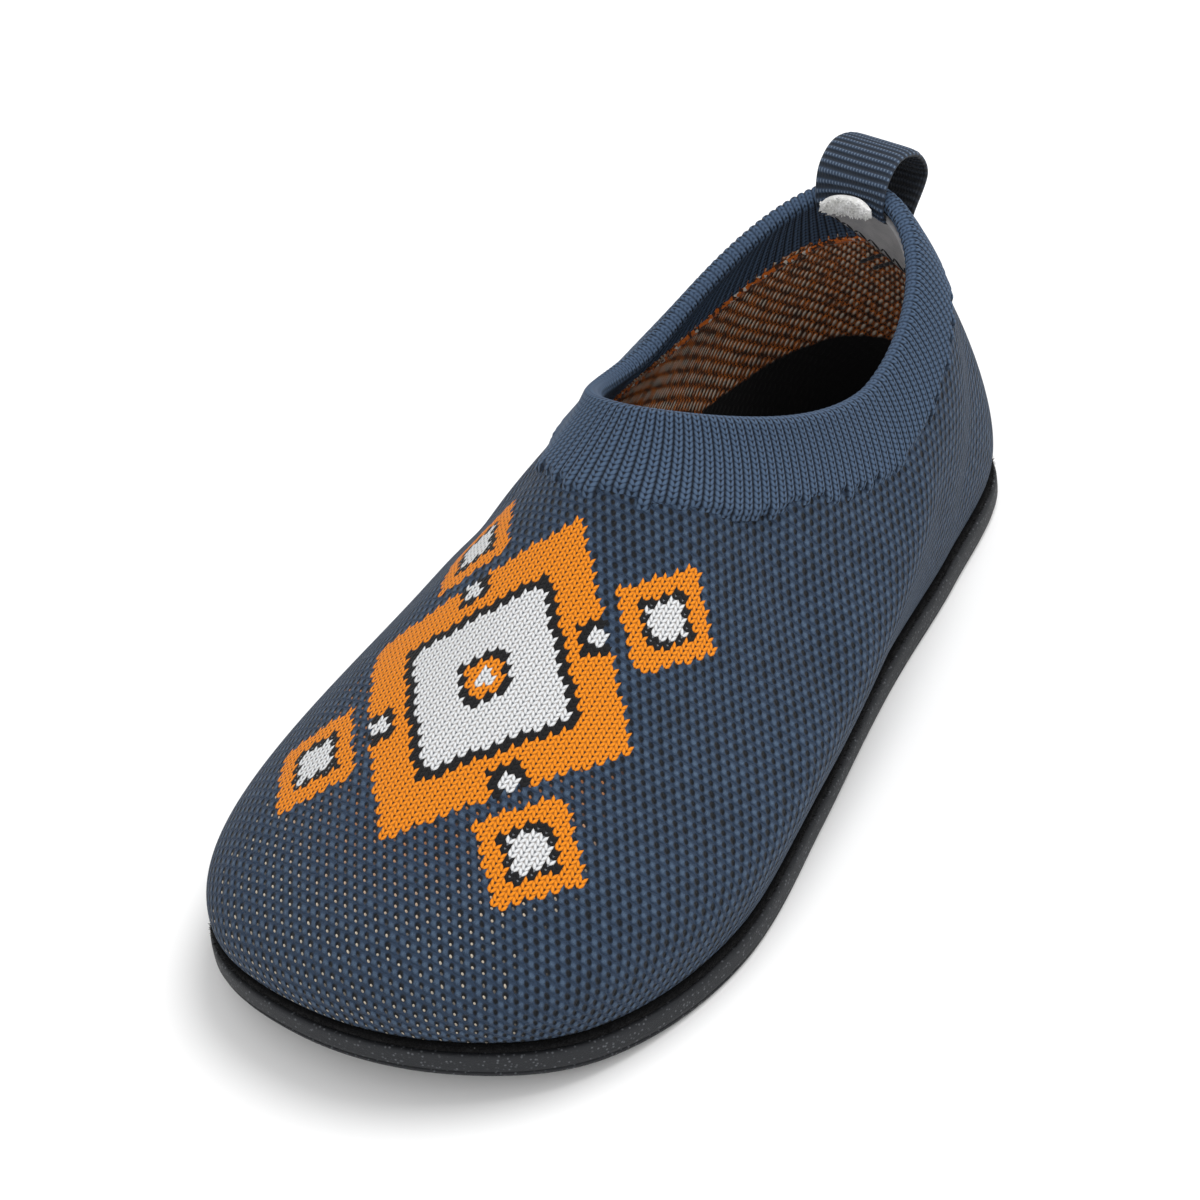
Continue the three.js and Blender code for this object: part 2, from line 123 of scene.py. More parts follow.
# Stations round the last, from the tip of the toe by the outer side to the heel and back:
# along and across place the sole's edge, swell and rise are the handle with which a rib of
# the upper leaves the sole, run and drop the handle with which it meets the collar.
STATIONS = [
    # along, across, half width, swell, rise, run, drop
    (1.000, -0.120, BALL, 0.140, 0.310, 0.710, 0.330),
    (0.967, 0.400, BALL, 0.170, 0.340, 0.580, 0.420),
    (0.875, 0.820, BALL, 0.210, 0.350, 0.380, 0.540),
    (0.710, 0.995, BALL, 0.200, 0.310, 0.310, 0.510),
    (0.527, 0.870, BALL, 0.200, 0.260, 0.300, 0.410),
    (0.335, 0.683, BALL, 0.180, 0.240, 0.280, 0.310),
    (0.180, 1.020, HEEL, 0.140, 0.210, 0.240, 0.230),
    (0.042, 0.760, HEEL, 0.100, 0.200, 0.130, 0.170),
    (0.000, 0.140, HEEL, 0.105, 0.250, 0.100, 0.120),
    (0.030, -0.660, HEEL, 0.160, 0.270, 0.115, 0.120),
    (0.161, -0.980, HEEL, 0.240, 0.230, 0.160, 0.140),
    (0.335, -0.518, BALL, 0.320, 0.180, 0.230, 0.170),
    (0.525, -0.620, BALL, 0.330, 0.160, 0.330, 0.190),
    (0.708, -0.895, BALL, 0.250, 0.180, 0.380, 0.330),
    (0.860, -1.000, BALL, 0.200, 0.250, 0.320, 0.430),
    (0.967, -0.690, BALL, 0.160, 0.300, 0.550, 0.370),
]
ALONG, ACROSS, HALF, SWELL, RISE, RUN, DROP = np.array(STATIONS).T

# Side of the sole from the ground up: height as a share of its thickness, inset as a share
# of its edge round
SOLE_SIDE = [
    (0.00, 1.00),
    (0.03, 0.72),
    (0.07, 0.50),
    (0.19, 0.35),
    (0.215, 0.90),
    (0.285, 0.90),
    (0.32, 0.04),
    (0.45, 0.00),
    (0.72, 0.00),
    (0.86, 0.04),
    (0.93, 0.18),
    (0.98, 0.50),
    (1.00, 1.00),
]

# Camera round the middle of the shoe, from the photograph's standpoint
CAMERA_AIM = (1.3, -6.3, 28.4)
CAMERA_AZIMUTH = 40.03
CAMERA_ELEVATION = 40.84
CAMERA_ROLL = -8.55
CAMERA_DISTANCE = 713.0
CAMERA_LENS = 140.0
SENSOR = 36.0


def smooth(values):
    """Soft step over values from 0 to 1"""
    held = np.clip(values, 0.0, 1.0)
    return held * held * (3.0 - 2.0 * held)


def mix(a, b, share):
    return a + (b - a) * share


def through(values, s):
    """Closed smooth curve through the stations' values, at shares s of the way round"""
    count = len(values)
    at = np.mod(s, 1.0) * count
    k = np.floor(at).astype(int)
    w = at - k
    a, b, c, d = (values[(k + step) % count] for step in (-1, 0, 1, 2))
    return b + 0.5 * w * (c - a + w * (2 * a - 5 * b + 4 * c - d + w * (3 * (b - c) + d - a)))


def unit(vectors):
    return vectors / np.linalg.norm(vectors, axis=-1, keepdims=True)


def sole_line(s):
    return np.stack([through(ALONG * SOLE_LENGTH, s), through(ACROSS * HALF, s), 0 * s], -1)


def outward(line, s):
    step = 0.002
    run = line(s + step) - line(s - step)
    return unit(np.stack([run[..., 1], -run[..., 0], 0 * s], -1))


def lift(x):
    toe = np.clip((x / SOLE_LENGTH - TOE_SPRING_START) / (1 - TOE_SPRING_START), 0, 1.1)
    heel = np.clip((HEEL_SPRING_END - x / SOLE_LENGTH) / HEEL_SPRING_END, 0, 1.1)
    return TOE_SPRING * toe**2 + HEEL_SPRING * heel**2


def underside(x):
    waist = np.clip((x / SOLE_LENGTH - WAIST_FROM) / (WAIST_TO - WAIST_FROM), 0, 1)
    return lift(x) + WAIST_HOLLOW * np.sin(np.pi * waist) ** 2


def sole_point(s, inset, height):
    point = sole_line(s) - np.asarray(inset)[..., None] * outward(sole_line, s)
    point[..., 2] = height(point[..., 0])
    return point


def collar_line(s):
    turn = 2 * np.pi * s
    c, d = np.cos(turn), np.sin(turn)
    power = np.where(c > 0, COLLAR_FRONT_POINT, COLLAR_BACK_POINT)
    reach = (np.abs(c) ** power + np.abs(d) ** power) ** (-1 / power)
    end = np.where(c > 0, INSTEP_HEIGHT, COLLAR_BACK_HEIGHT)
    height = COLLAR_SIDE_HEIGHT + (end - COLLAR_SIDE_HEIGHT) * np.abs(c) ** COLLAR_SWEEP
    x = COLLAR_BACK + COLLAR_LENGTH / 2 * (1 + reach * c)
    y = COLLAR_SIDESTEP + COLLAR_WIDTH / 2 * reach * d
    return np.stack([x, y, height + COLLAR_TILT * d], -1)


def face(s, t):
    """Point on the upper's outer face: s round the last, t from the sole (0) to the collar (1)"""
    foot = sole_point(s, np.full_like(s, FEATHER_INSET), lambda x: UPPER_BASE + lift(x))
    lip = collar_line(s)
    low = foot + through(SWELL * BALL, s)[..., None] * outward(sole_line, s)
    low[..., 2] += through(RISE * INSTEP_HEIGHT, s)
    high = lip + through(RUN * BALL, s)[..., None] * outward(collar_line, s)
    high[..., 2] -= through(DROP * INSTEP_HEIGHT, s)
    t = t[..., None]
    r = 1 - t
    return r**3 * foot + 3 * r * r * t * low + 3 * r * t * t * high + t**3 * lip


def climb(s, t):
    """Direction up the face"""
    step = 0.001
    return unit(face(s, np.minimum(t + step, 1)) - face(s, np.maximum(t - step, 0)))


def face_normal(s, t):
    step = 0.002
    normal = unit(np.cross(face(s + step, t) - face(s - step, t), climb(s, t)))
    level = smooth(t / 0.15)[..., None]
    return unit(mix(outward(sole_line, s), normal, level))


def behind(s, t, depth):
    """Point so deep behind the outer face, or proud of it where depth is negative"""
    point = face(s, t) - np.asarray(depth)[..., None] * face_normal(s, t)
    seat = UPPER_BASE + lift(point[..., 0])
    point[..., 2] = np.where(t == 0, seat, point[..., 2])
    return point


def below(s, distance):
    """Where on each rib a point lies that is so far below the collar"""
    distance = np.broadcast_to(distance, np.broadcast_shapes(np.shape(distance), s.shape))
    samples = np.linspace(1, 0, 161)
    points = face(s[:, None] + 0 * samples, samples + 0 * s[:, None])
    steps = np.linalg.norm(np.diff(points, axis=1), axis=-1)
    travelled = np.concatenate([0 * s[:, None], np.cumsum(steps, 1)], 1)
    ribs = [np.interp(distance[..., k], travelled[k], samples) for k in range(len(s))]
    return np.stack(ribs, -1)


def band_depth(s):
    return mix(RIB_BAND_BACK, RIB_BAND_FRONT, (1 + np.cos(2 * np.pi * s)) / 2)


def heel_spot(sideways, distance, depth):
    """Point at the heel, so far to the outer side of its middle and below the collar"""
    outer, inner = np.array([HEEL_AT - 0.14]), np.array([HEEL_AT + 0.14])
    for _ in range(24):
        s = (outer + inner) / 2
        spot = behind(s, below(s, distance), np.array([depth]))[0]
        if spot[1] > COLLAR_SIDESTEP + sideways:
            outer = s
        else:
            inner = s
    return spot


def lip_middle(sideways):
    return heel_spot(sideways, 0, WALL - LIP_ROLL)


def place(points):
    """From the last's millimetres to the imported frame's metres"""
    ring = sole_line(np.arange(64) / 64)
    corner = np.array(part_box("outsole")[0]) / MM
    shift = np.array([corner[0] - ring[:, 0].min(), corner[1] - ring[:, 1].min(), 0])
    return (points + shift) * MM


def make_mesh(name, points, faces, material, uv=None, weld=False):
    """Smooth mesh from points in millimetres and rows of four corners, uv for each corner"""
    flat = place(np.asarray(points).reshape(-1, 3))
    faces = np.asarray(faces).reshape(-1, 4)
    mesh = bpy.data.meshes.new(name)
    mesh.vertices.add(len(flat))
    mesh.vertices.foreach_set("co", flat.astype(np.float32).ravel())
    mesh.loops.add(faces.size)
    mesh.loops.foreach_set("vertex_index", faces.astype(np.int32).ravel())
    mesh.polygons.add(len(faces))
    mesh.polygons.foreach_set("loop_start", np.arange(0, faces.size, 4, dtype=np.int32))
    if uv is not None:
        layer = mesh.uv_layers.new(name="stitches")
        layer.data.foreach_set("uv", np.asarray(uv, np.float32).ravel())
    mesh.update(calc_edges=True)
    if weld:
        work = bmesh.new()
        work.from_mesh(mesh)
        bmesh.ops.remove_doubles(work, verts=work.verts, dist=1e-6)
        work.to_mesh(mesh)
        work.free()
    mesh.shade_smooth()
    mesh.materials.append(material)
    piece = bpy.data.objects.new(name, mesh)
    bpy.context.scene.collection.objects.link(piece)
    return piece


def grid_faces(rows, columns, first=0, closed=True, looped=False):
    """Quads of a grid whose points run along each row, which may close on itself"""
    j = np.arange(rows if looped else rows - 1)[:, None]
    k = np.arange(columns if closed else columns - 1)[None, :]
    here, right = k + 0 * j, (k + 1) % columns + 0 * j
    up = (j + 1) % rows
    corners = [j * columns + here, j * columns + right, up * columns + right, up * columns + here]
    return np.stack(corners, -1).reshape(-1, 4) + first


def grid_corners(u, v, closed=True, looped=False):
    """For each corner of grid_faces' quads the values u and v, whose rows have one column more
    than a closed grid, and one row more than a looped one"""
    uv = np.stack([u, v], -1)
    parts = [uv[:-1, :-1], uv[:-1, 1:], uv[1:, 1:], uv[1:, :-1]]
    return np.stack(parts, 2).reshape(-1, 4, 2)


def flatten(points, rounds):
    """Lays a strip of the upper flat with the least stretch, as a knitter's pattern piece.
    points has rows from the sole up and columns from the heel by the outer side."""
    rows, columns = points.shape[:2]
    flat = points.reshape(-1, 3)
    quads = grid_faces(rows, columns, closed=False)
    triangles = np.concatenate([quads[:, [0, 1, 2]], quads[:, [0, 2, 3]]])
    corners = flat[triangles]
    first = corners[:, 1] - corners[:, 0]
    second = corners[:, 2] - corners[:, 0]
    length = np.linalg.norm(first, axis=1)
    along = (first * second).sum(1) / length
    height = np.sqrt(np.maximum((second**2).sum(1) - along**2, 1e-9))
    local = np.zeros((len(triangles), 3, 2))
    local[:, 1, 0] = length
    local[:, 2] = np.stack([along, height], 1)
    weights = []
    for k in range(3):
        a = local[:, (k + 1) % 3] - local[:, (k + 2) % 3]
        b = local[:, k] - local[:, (k + 2) % 3]
        cross = np.abs(a[:, 0] * b[:, 1] - a[:, 1] * b[:, 0])
        weights.append((a * b).sum(1) / cross)
    size = len(flat)
    pull = np.zeros((size, size))
    for k in range(3):
        i, j = triangles[:, k], triangles[:, (k + 1) % 3]
        for a, b, sign in ((i, i, 1), (j, j, 1), (i, j, -1), (j, i, -1)):
            np.add.at(pull, (a, b), sign * weights[k])
    pull[0, :] = 0
    pull[0, 0] = 1
    solve = np.linalg.inv(pull)
    lip = points[-1]
    reach = np.linalg.norm(np.diff(points, axis=0), axis=-1)
    out = np.concatenate([np.cumsum(reach[::-1], 0)[::-1], 0 * reach[:1]])
    away = points[0] - lip
    away[:, 2] = 0
    laid = (lip + out[..., None] * unit(away))[..., :2].reshape(-1, 2)
    for _ in range(rounds):
        spin = np.zeros((len(triangles), 2, 2))
        for k in range(3):
            j = (k + 1) % 3
            now = laid[triangles[:, k]] - laid[triangles[:, j]]
            rest = local[:, k] - local[:, j]
            spin += weights[k][:, None, None] * now[:, :, None] * rest[:, None, :]
        angle = np.arctan2(spin[:, 1, 0] - spin[:, 0, 1], spin[:, 0, 0] + spin[:, 1, 1])
        c, d = np.cos(angle), np.sin(angle)
        target = np.zeros((size, 2))
        for k in range(3):
            j = (k + 1) % 3
            rest = local[:, k] - local[:, j]
            turned = np.stack([c * rest[:, 0] - d * rest[:, 1], d * rest[:, 0] + c * rest[:, 1]], 1)
            np.add.at(target, triangles[:, k], weights[k][:, None] * turned)
            np.add.at(target, triangles[:, j], -weights[k][:, None] * turned)
        target[0] = laid[0]
        laid = solve @ target
    return laid.reshape(rows, columns, 2)


def between_rows(table, rows, columns):
    """Reads a coarse grid of values at fractional rows and columns"""
    j = np.clip(np.floor(rows).astype(int), 0, table.shape[0] - 2)
    k = np.clip(np.floor(columns).astype(int), 0, table.shape[1] - 2)
    a, b = (rows - j)[..., None], (columns - k)[..., None]
    low = mix(table[j, k], table[j, k + 1], b)
    return mix(low, mix(table[j + 1, k], table[j + 1, k + 1], b), a)


# Materials


def colour(text):
    """Linear colour from a painter's hex code"""
    shares = [int(text[k : k + 2], 16) / 255 for k in (0, 2, 4)]
    return tuple(c / 12.92 if c < 0.04045 else ((c + 0.055) / 1.055) ** 2.4 for c in shares) + (1.0,)


class Sheet:
    """Nodes of one material or node group"""

    def __init__(self, tree):
        self.tree = tree

    def add(self, kind, inputs=None, **settings):
        made = self.tree.nodes.new("ShaderNode" + kind)
        for name, value in settings.items():
            setattr(made, name, value)
        for name, value in (inputs or {}).items():
            self.join(value, made.inputs[name])
        return made

    def join(self, value, socket):
        if isinstance(value, bpy.types.NodeSocket):
            self.tree.links.new(value, socket)
        else:
            socket.default_value = value

    def math(self, operation, *values, clamp=False):
        made = self.add("Math", operation=operation, use_clamp=clamp)
        for k, value in enumerate(values):
            self.join(value, made.inputs[k])
        return made.outputs[0]

    def plus(self, a, b):
        return self.math("ADD", a, b)

    def minus(self, a, b):
        return self.math("SUBTRACT", a, b)

    def times(self, a, b):
        return self.math("MULTIPLY", a, b)

    def over(self, a, b):
        return self.math("DIVIDE", a, b)

    def step(self, value, start, end):
        """Soft step of value from 0 at start to 1 at end"""
        made = self.add("MapRange", interpolation_type="SMOOTHSTEP")
        for name, given in (("Value", value), ("From Min", start), ("From Max", end)):
            self.join(given, made.inputs[name])
        return made.outputs["Result"]

    def blend(self, share, a, b, mode="MIX"):
        made = self.add("Mix", data_type="RGBA", blend_type=mode)
        for k, value in ((0, share), (6, a), (7, b)):
            self.join(value, made.inputs[k])
        return made.outputs[2]

    def vector(self, x, y, z=0.0):
        return self.add("CombineXYZ", {"X": x, "Y": y, "Z": z}).outputs[0]

    def parts(self, vector):
        made = self.add("SeparateXYZ", {"Vector": vector})
        return made.outputs["X"], made.outputs["Y"], made.outputs["Z"]

    def noise(self, place, scale, detail=2.0, roughness=0.5):
        inputs = {"Vector": place, "Scale": scale, "Detail": detail, "Roughness": roughness}
        return self.add("TexNoise", inputs).outputs[0]

    def random(self, place):
        return self.add("TexWhiteNoise", {"Vector": place}, noise_dimensions="2D").outputs[0]

    def group(self, group, inputs):
        made = self.tree.nodes.new("ShaderNodeGroup")
        made.node_tree = group
        for name, value in inputs.items():
            self.join(value, made.inputs[name])
        return made.outputs


SOCKETS = {"value": "NodeSocketFloat", "place": "NodeSocketVector", "colour": "NodeSocketColor"}


def start_group(name, inputs, outputs):
    """New shader group with its named sockets: its sheet, its inputs and a way to end it"""
    tree = bpy.data.node_groups.new(name, "ShaderNodeTree")
    for label, kind in inputs.items():
        tree.interface.new_socket(label, in_out="INPUT", socket_type=SOCKETS[kind])
    for label, kind in outputs.items():
        tree.interface.new_socket(label, in_out="OUTPUT", socket_type=SOCKETS[kind])
    sheet = Sheet(tree)
    given = tree.nodes.new("NodeGroupInput").outputs
    ends = tree.nodes.new("NodeGroupOutput").inputs

    def finish(**results):
        for label, socket in results.items():
            tree.links.new(socket, ends[label.replace("_", " ")])
        return tree

    return sheet, given, finish


def stitch_cells():
    """Splits a place in millimetres into stitches: where in its stitch a point lies, from -0.5
    to 0.5 each way, the stitch's own place, and a chance value that each stitch keeps"""
    sheet, given, finish = start_group(
        "Stitch cells",
        {"Place": "place", "Width": "value", "Height": "value", "Stagger": "value"},
        {"Across": "value", "Along": "value", "Cell": "place", "Chance": "value"},
    )
    x, y, _ = sheet.parts(given["Place"])
    row_at = sheet.over(y, given["Height"])
    row = sheet.math("FLOOR", row_at)
    odd = sheet.math("FLOORED_MODULO", row, 2.0)
    offset = sheet.times(sheet.times(odd, 0.5), given["Stagger"])
    column_at = sheet.plus(sheet.over(x, given["Width"]), offset)
    column = sheet.math("FLOOR", column_at)
    middle = sheet.minus(sheet.plus(column, 0.5), offset)
    middle_row = sheet.plus(row, 0.5)
    cell = sheet.vector(sheet.times(middle, given["Width"]), sheet.times(middle_row, given["Height"]))
    return finish(
        Across=sheet.minus(sheet.minus(column_at, column), 0.5),
        Along=sheet.minus(sheet.minus(row_at, row), 0.5),
        Cell=cell,
        Chance=sheet.random(sheet.vector(column, row)),
    )


def open_knit(cells):
    """Staggered open loops: a hole in each cell, a rounded knot of yarn between two holes, and a painted
    highlight on each knot's top
    """
    sheet, given, finish = start_group(
        "Open knit",
        {"Place": "place", "Width": "value", "Height": "value", "Hole Size": "value"},
        {"Relief": "value", "Hole": "value", "Speck": "value", "Shine": "value", "Chance": "value"},
    )
    wobble = sheet.times(sheet.minus(sheet.noise(given["Place"], 0.9, 1.0), 0.5), 0.32)
    x, y, _ = sheet.parts(given["Place"])
    moved = sheet.vector(sheet.plus(x, wobble), sheet.plus(y, wobble))
    grid = {"Place": moved, "Width": given["Width"], "Height": given["Height"], "Stagger": 1.0}
    cell = sheet.group(cells, grid)
    across, along = cell["Across"], cell["Along"]
    lean = sheet.minus(across, sheet.times(along, 0.28))
    hole_x = sheet.over(lean, sheet.times(given["Hole Size"], 0.27))
    hole_y = sheet.over(sheet.plus(along, 0.06), sheet.times(given["Hole Size"], 0.36))
    away = sheet.math("SQRT", sheet.plus(sheet.times(hole_x, hole_x), sheet.times(hole_y, hole_y)))
    size = sheet.plus(0.8, sheet.times(cell["Chance"], 0.4))
    hole = sheet.minus(1.0, sheet.step(sheet.over(away, size), 0.45, 1.15))
    knot_x = sheet.over(sheet.minus(0.5, sheet.math("ABSOLUTE", lean)), 0.54)
    knot_y = sheet.over(along, 0.54)
    knot = sheet.plus(sheet.times(knot_x, knot_x), sheet.times(knot_y, knot_y))
    bulge = sheet.math("SQRT", sheet.math("MAXIMUM", sheet.minus(1.0, knot), 0.0))
    turn = sheet.plus(sheet.times(lean, 12.0), sheet.times(along, 7.0))
    strands = sheet.times(sheet.math("SINE", turn), 0.16)
    fibres = sheet.times(sheet.minus(sheet.noise(given["Place"], 7.0, 2.0), 0.5), 0.35)
    relief = sheet.minus(sheet.plus(sheet.plus(bulge, strands), fibres), sheet.times(hole, 0.9))
    speck_y = sheet.over(sheet.minus(along, 0.14), sheet.times(given["Hole Size"], 0.15))
    speck_x = sheet.over(lean, sheet.times(given["Hole Size"], 0.13))
    spot = sheet.plus(sheet.times(speck_x, speck_x), sheet.times(speck_y, speck_y))
    # Painted highlight: lighter where a knot bulges highest
    painted_highlight = sheet.step(sheet.plus(bulge, sheet.times(fibres, 1.6)), 0.72, 1.15)
    return finish(
        Relief=relief,
        Hole=hole,
        Speck=sheet.minus(1.0, sheet.step(spot, 0.3, 1.3)),
        Shine=painted_highlight,
        Chance=cell["Chance"],
    )


def plain_knit(cells):
    """Rows of V stitches, each of two legs that lean together towards the toe"""
    sheet, given, finish = start_group(
        "Plain knit",
        {"Place": "place", "Width": "value", "Height": "value", "Lean": "value"},
        {"Relief": "value", "Gap": "value", "Cell": "place", "Chance": "value"},
    )
    x, y, _ = sheet.parts(given["Place"])
    column_at = sheet.over(x, given["Width"])
    side = sheet.math("ABSOLUTE", sheet.minus(sheet.math("FRACT", column_at), 0.5))
    slope = sheet.times(sheet.times(side, given["Lean"]), given["Height"])
    moved = sheet.vector(x, sheet.plus(y, slope))
    grid = {"Place": moved, "Width": given["Width"], "Height": given["Height"], "Stagger": 0.0}
    cell = sheet.group(cells, grid)
    leg_x = sheet.over(sheet.minus(side, 0.25), 0.25)
    leg_y = sheet.times(cell["Along"], 2.0)
    leg = sheet.plus(sheet.times(leg_x, leg_x), sheet.times(leg_y, leg_y))
    relief = sheet.math("SQRT", sheet.math("MAXIMUM", sheet.minus(1.0, sheet.times(leg, 0.62)), 0.0))
    fibres = sheet.times(sheet.minus(sheet.noise(given["Place"], 8.0, 2.0), 0.5), 0.3)
    # Dark dot in the gap between each stitch's legs: a painted shade mask
    dot_x = sheet.over(side, 0.13)
    dot_y = sheet.over(sheet.minus(0.5, sheet.math("ABSOLUTE", cell["Along"])), 0.26)
    dot = sheet.plus(sheet.times(dot_x, dot_x), sheet.times(dot_y, dot_y))
    return finish(
        Relief=sheet.plus(relief, fibres),
        Gap=sheet.minus(1.0, sheet.step(dot, 0.35, 1.5)),
        Cell=cell["Cell"],
        Chance=cell["Chance"],
    )


def fuzz():
    """Brushed nap: a soft relief of fine hairs and a painted highlight on their tips, where the fine relief
    is highest
    """
    sheet, given, finish = start_group(
        "Brushed nap",
        {"Place": "place", "Hair": "value", "Clump": "value"},
        {"Relief": "value", "Tips": "value", "Patches": "value"},
    )
    fine = sheet.noise(given["Place"], given["Hair"], 4.0, 0.7)
    broad = sheet.noise(given["Place"], given["Clump"], 2.0, 0.5)
    return finish(
        Relief=sheet.plus(fine, sheet.times(broad, 0.6)),
        Tips=sheet.step(fine, 0.52, 0.74),
        Patches=sheet.step(broad, 0.3, 0.7),
    )


def lint():
    """Sparse pale specks of lint and dust"""
    sheet, given, finish = start_group(
        "Lint",
        {"Place": "place", "Spacing": "value", "Amount": "value"},
        {"Mask": "value"},
    )
    dots = sheet.add("TexVoronoi", {"Vector": given["Place"], "Scale": given["Spacing"]})
    near = sheet.minus(1.0, sheet.step(dots.outputs["Distance"], 0.05, 0.16))
    rare = sheet.step(sheet.random(dots.outputs["Position"]), sheet.minus(1.0, given["Amount"]), 1.0)
    return finish(Mask=sheet.times(near, rare))


GROUPS = {}


def make_groups():
    GROUPS["cells"] = stitch_cells()
    GROUPS["open"] = open_knit(GROUPS["cells"])
    GROUPS["plain"] = plain_knit(GROUPS["cells"])
    GROUPS["nap"] = fuzz()
    GROUPS["lint"] = lint()


def start_material(name, roughness, sheen=0.0, coat=0.0, gloss=0.25):
    """New material: its sheet, its main shader and places in millimetres on the object"""
    material = bpy.data.materials.new(name)
    material.use_nodes = True
    sheet = Sheet(material.node_tree)
    shader = material.node_tree.nodes["Principled BSDF"]
    shader.inputs["Roughness"].default_value = roughness
    shader.inputs["Sheen Weight"].default_value = sheen
    shader.inputs["Sheen Roughness"].default_value = 0.5
    shader.inputs["Coat Weight"].default_value = coat
    shader.inputs["Specular IOR Level"].default_value = gloss
    coordinates = sheet.add("TexCoord").outputs
    on_object = sheet.add("VectorMath", {0: coordinates["Object"], 1: (1 / MM,) * 3}, operation="MULTIPLY")
    return material, sheet, shader, on_object.outputs[0], coordinates["UV"]


def bumped(sheet, shader, height, depth, strength=1.0):
    """Gives the shader a relief of so many millimetres"""
    inputs = {"Height": height, "Distance": depth * MM, "Strength": strength}
    bump = sheet.add("Bump", inputs)
    sheet.join(bump.outputs["Normal"], shader.inputs["Normal"])


DARK_BAND_RISE = 15.0
BODY_PITCH = 1.73
BODY_ROW = 1.45
MOTIF_STITCH = 1.28
MOTIF_ROW = 0.85
MOTIF_CENTRE = (1.0, 34.0)
MOTIF_HALF_WIDTH = 25.0
MOTIF_HALF_LENGTH = 29.0


def medallion(sheet, cell):
    """Nested lozenges knitted stitch by stitch: shares of orange, white and black, and the
    whole ground of plain stitches"""
    x, y, _ = sheet.parts(cell)
    x = sheet.math("ABSOLUTE", sheet.minus(x, MOTIF_CENTRE[0]))
    y = sheet.minus(y, MOTIF_CENTRE[1])
    y_size = sheet.math("ABSOLUTE", y)

    def lozenge(dx, dy, width, length):
        along_x = sheet.over(sheet.math("ABSOLUTE", dx), width)
        along_y = sheet.over(sheet.math("ABSOLUTE", dy), length)
        return sheet.plus(along_x, along_y)

    def within(reach, limit):
        return sheet.math("LESS_THAN", reach, limit)

    def ring(reach, inner, outer):
        return sheet.times(within(reach, outer), sheet.math("GREATER_THAN", reach, inner))

    reach = lozenge(x, y, MOTIF_HALF_WIDTH, MOTIF_HALF_LENGTH)
    corner = lozenge(sheet.minus(x, 19.5), sheet.minus(y_size, 21.0), 9.0, 10.0)
    dots = lozenge(sheet.minus(x, 11.6), sheet.minus(y_size, 13.0), 3.6, 4.0)
    ground = sheet.math("MAXIMUM", within(reach, 1.0), within(corner, 1.0))
    white = sheet.math("MAXIMUM", ring(reach, 0.2, 0.58), within(corner, 0.5))
    white = sheet.math("MAXIMUM", white, within(reach, 0.07))
    white = sheet.math("MAXIMUM", white, within(dots, 0.5))
    black = sheet.math("MAXIMUM", ring(reach, 0.58, 0.66), ring(dots, 0.5, 1.0))
    black = sheet.math("MAXIMUM", black, ring(reach, 0.14, 0.2))
    black = sheet.math("MAXIMUM", black, ring(corner, 0.42, 0.58))
    return ground, white, black


def navy_knit():
    material, sheet, shader, on_object, uv = start_material("Navy open knit", 0.78, sheen=0.03)
    uv3 = sheet.vector(*sheet.parts(uv)[:2])
    open_loops = sheet.group(
        GROUPS["open"], {"Place": uv3, "Width": BODY_PITCH, "Height": BODY_ROW, "Hole Size": 1.0}
    )
    plain = sheet.group(
        GROUPS["plain"], {"Place": uv3, "Width": MOTIF_STITCH, "Height": MOTIF_ROW, "Lean": 1.3}
    )
    ground, white, black = medallion(sheet, plain["Cell"])
    slow = sheet.noise(on_object, 0.06, 2.0)
    # Yarn painted lighter on the knots' tops: a painted highlight
    yarn = sheet.blend(open_loops["Shine"], colour("28394f"), colour("54687f"))
    yarn = sheet.blend(sheet.times(open_loops["Chance"], 0.35), yarn, colour("25354a"))
    yarn = sheet.blend(sheet.times(slow, 0.3), yarn, colour("223145"))
    # Holes painted near black: painted shade inside the open holes
    yarn = sheet.blend(open_loops["Hole"], yarn, colour("04080f"))
    x, y, z = sheet.parts(on_object)
    side = sheet.step(sheet.math("ABSOLUTE", sheet.plus(y, 2.0)), 36.0, 16.0)
    seen_through = sheet.times(sheet.step(x, 24.0, 44.0), side)
    lit = sheet.step(sheet.plus(sheet.times(open_loops["Chance"], 0.7), seen_through), 0.95, 1.35)
    paint = sheet.blend(sheet.step(z, 34.0, 24.0), colour("b9733a"), colour("d9ccb8"))
    speck = sheet.times(sheet.times(open_loops["Speck"], lit), 0.85)
    yarn = sheet.blend(speck, yarn, paint)
    dyed = sheet.blend(white, colour("ee8a0c"), colour("dfe1e3"))
    dyed = sheet.blend(black, dyed, colour("101013"))
    shade = sheet.step(plain["Relief"], 0.25, 0.95)
    dyed = sheet.blend(1.0, dyed, sheet.blend(shade, (0.62, 0.56, 0.52, 1), (1, 1, 1, 1)), "MULTIPLY")
    # Gaps between the legs take a darker copy of each motif colour: painted shade
    deep = sheet.blend(white, sheet.blend(black, colour("5a2f08"), colour("08080b")), colour("8d9197"))
    dyed = sheet.blend(plain["Gap"], dyed, deep)
    sheet.join(sheet.blend(ground, yarn, dyed), shader.inputs["Base Color"])
    change = sheet.minus(plain["Relief"], open_loops["Relief"])
    relief = sheet.math("MULTIPLY_ADD", ground, change, open_loops["Relief"])
    bumped(sheet, shader, relief, 0.5)
    return material


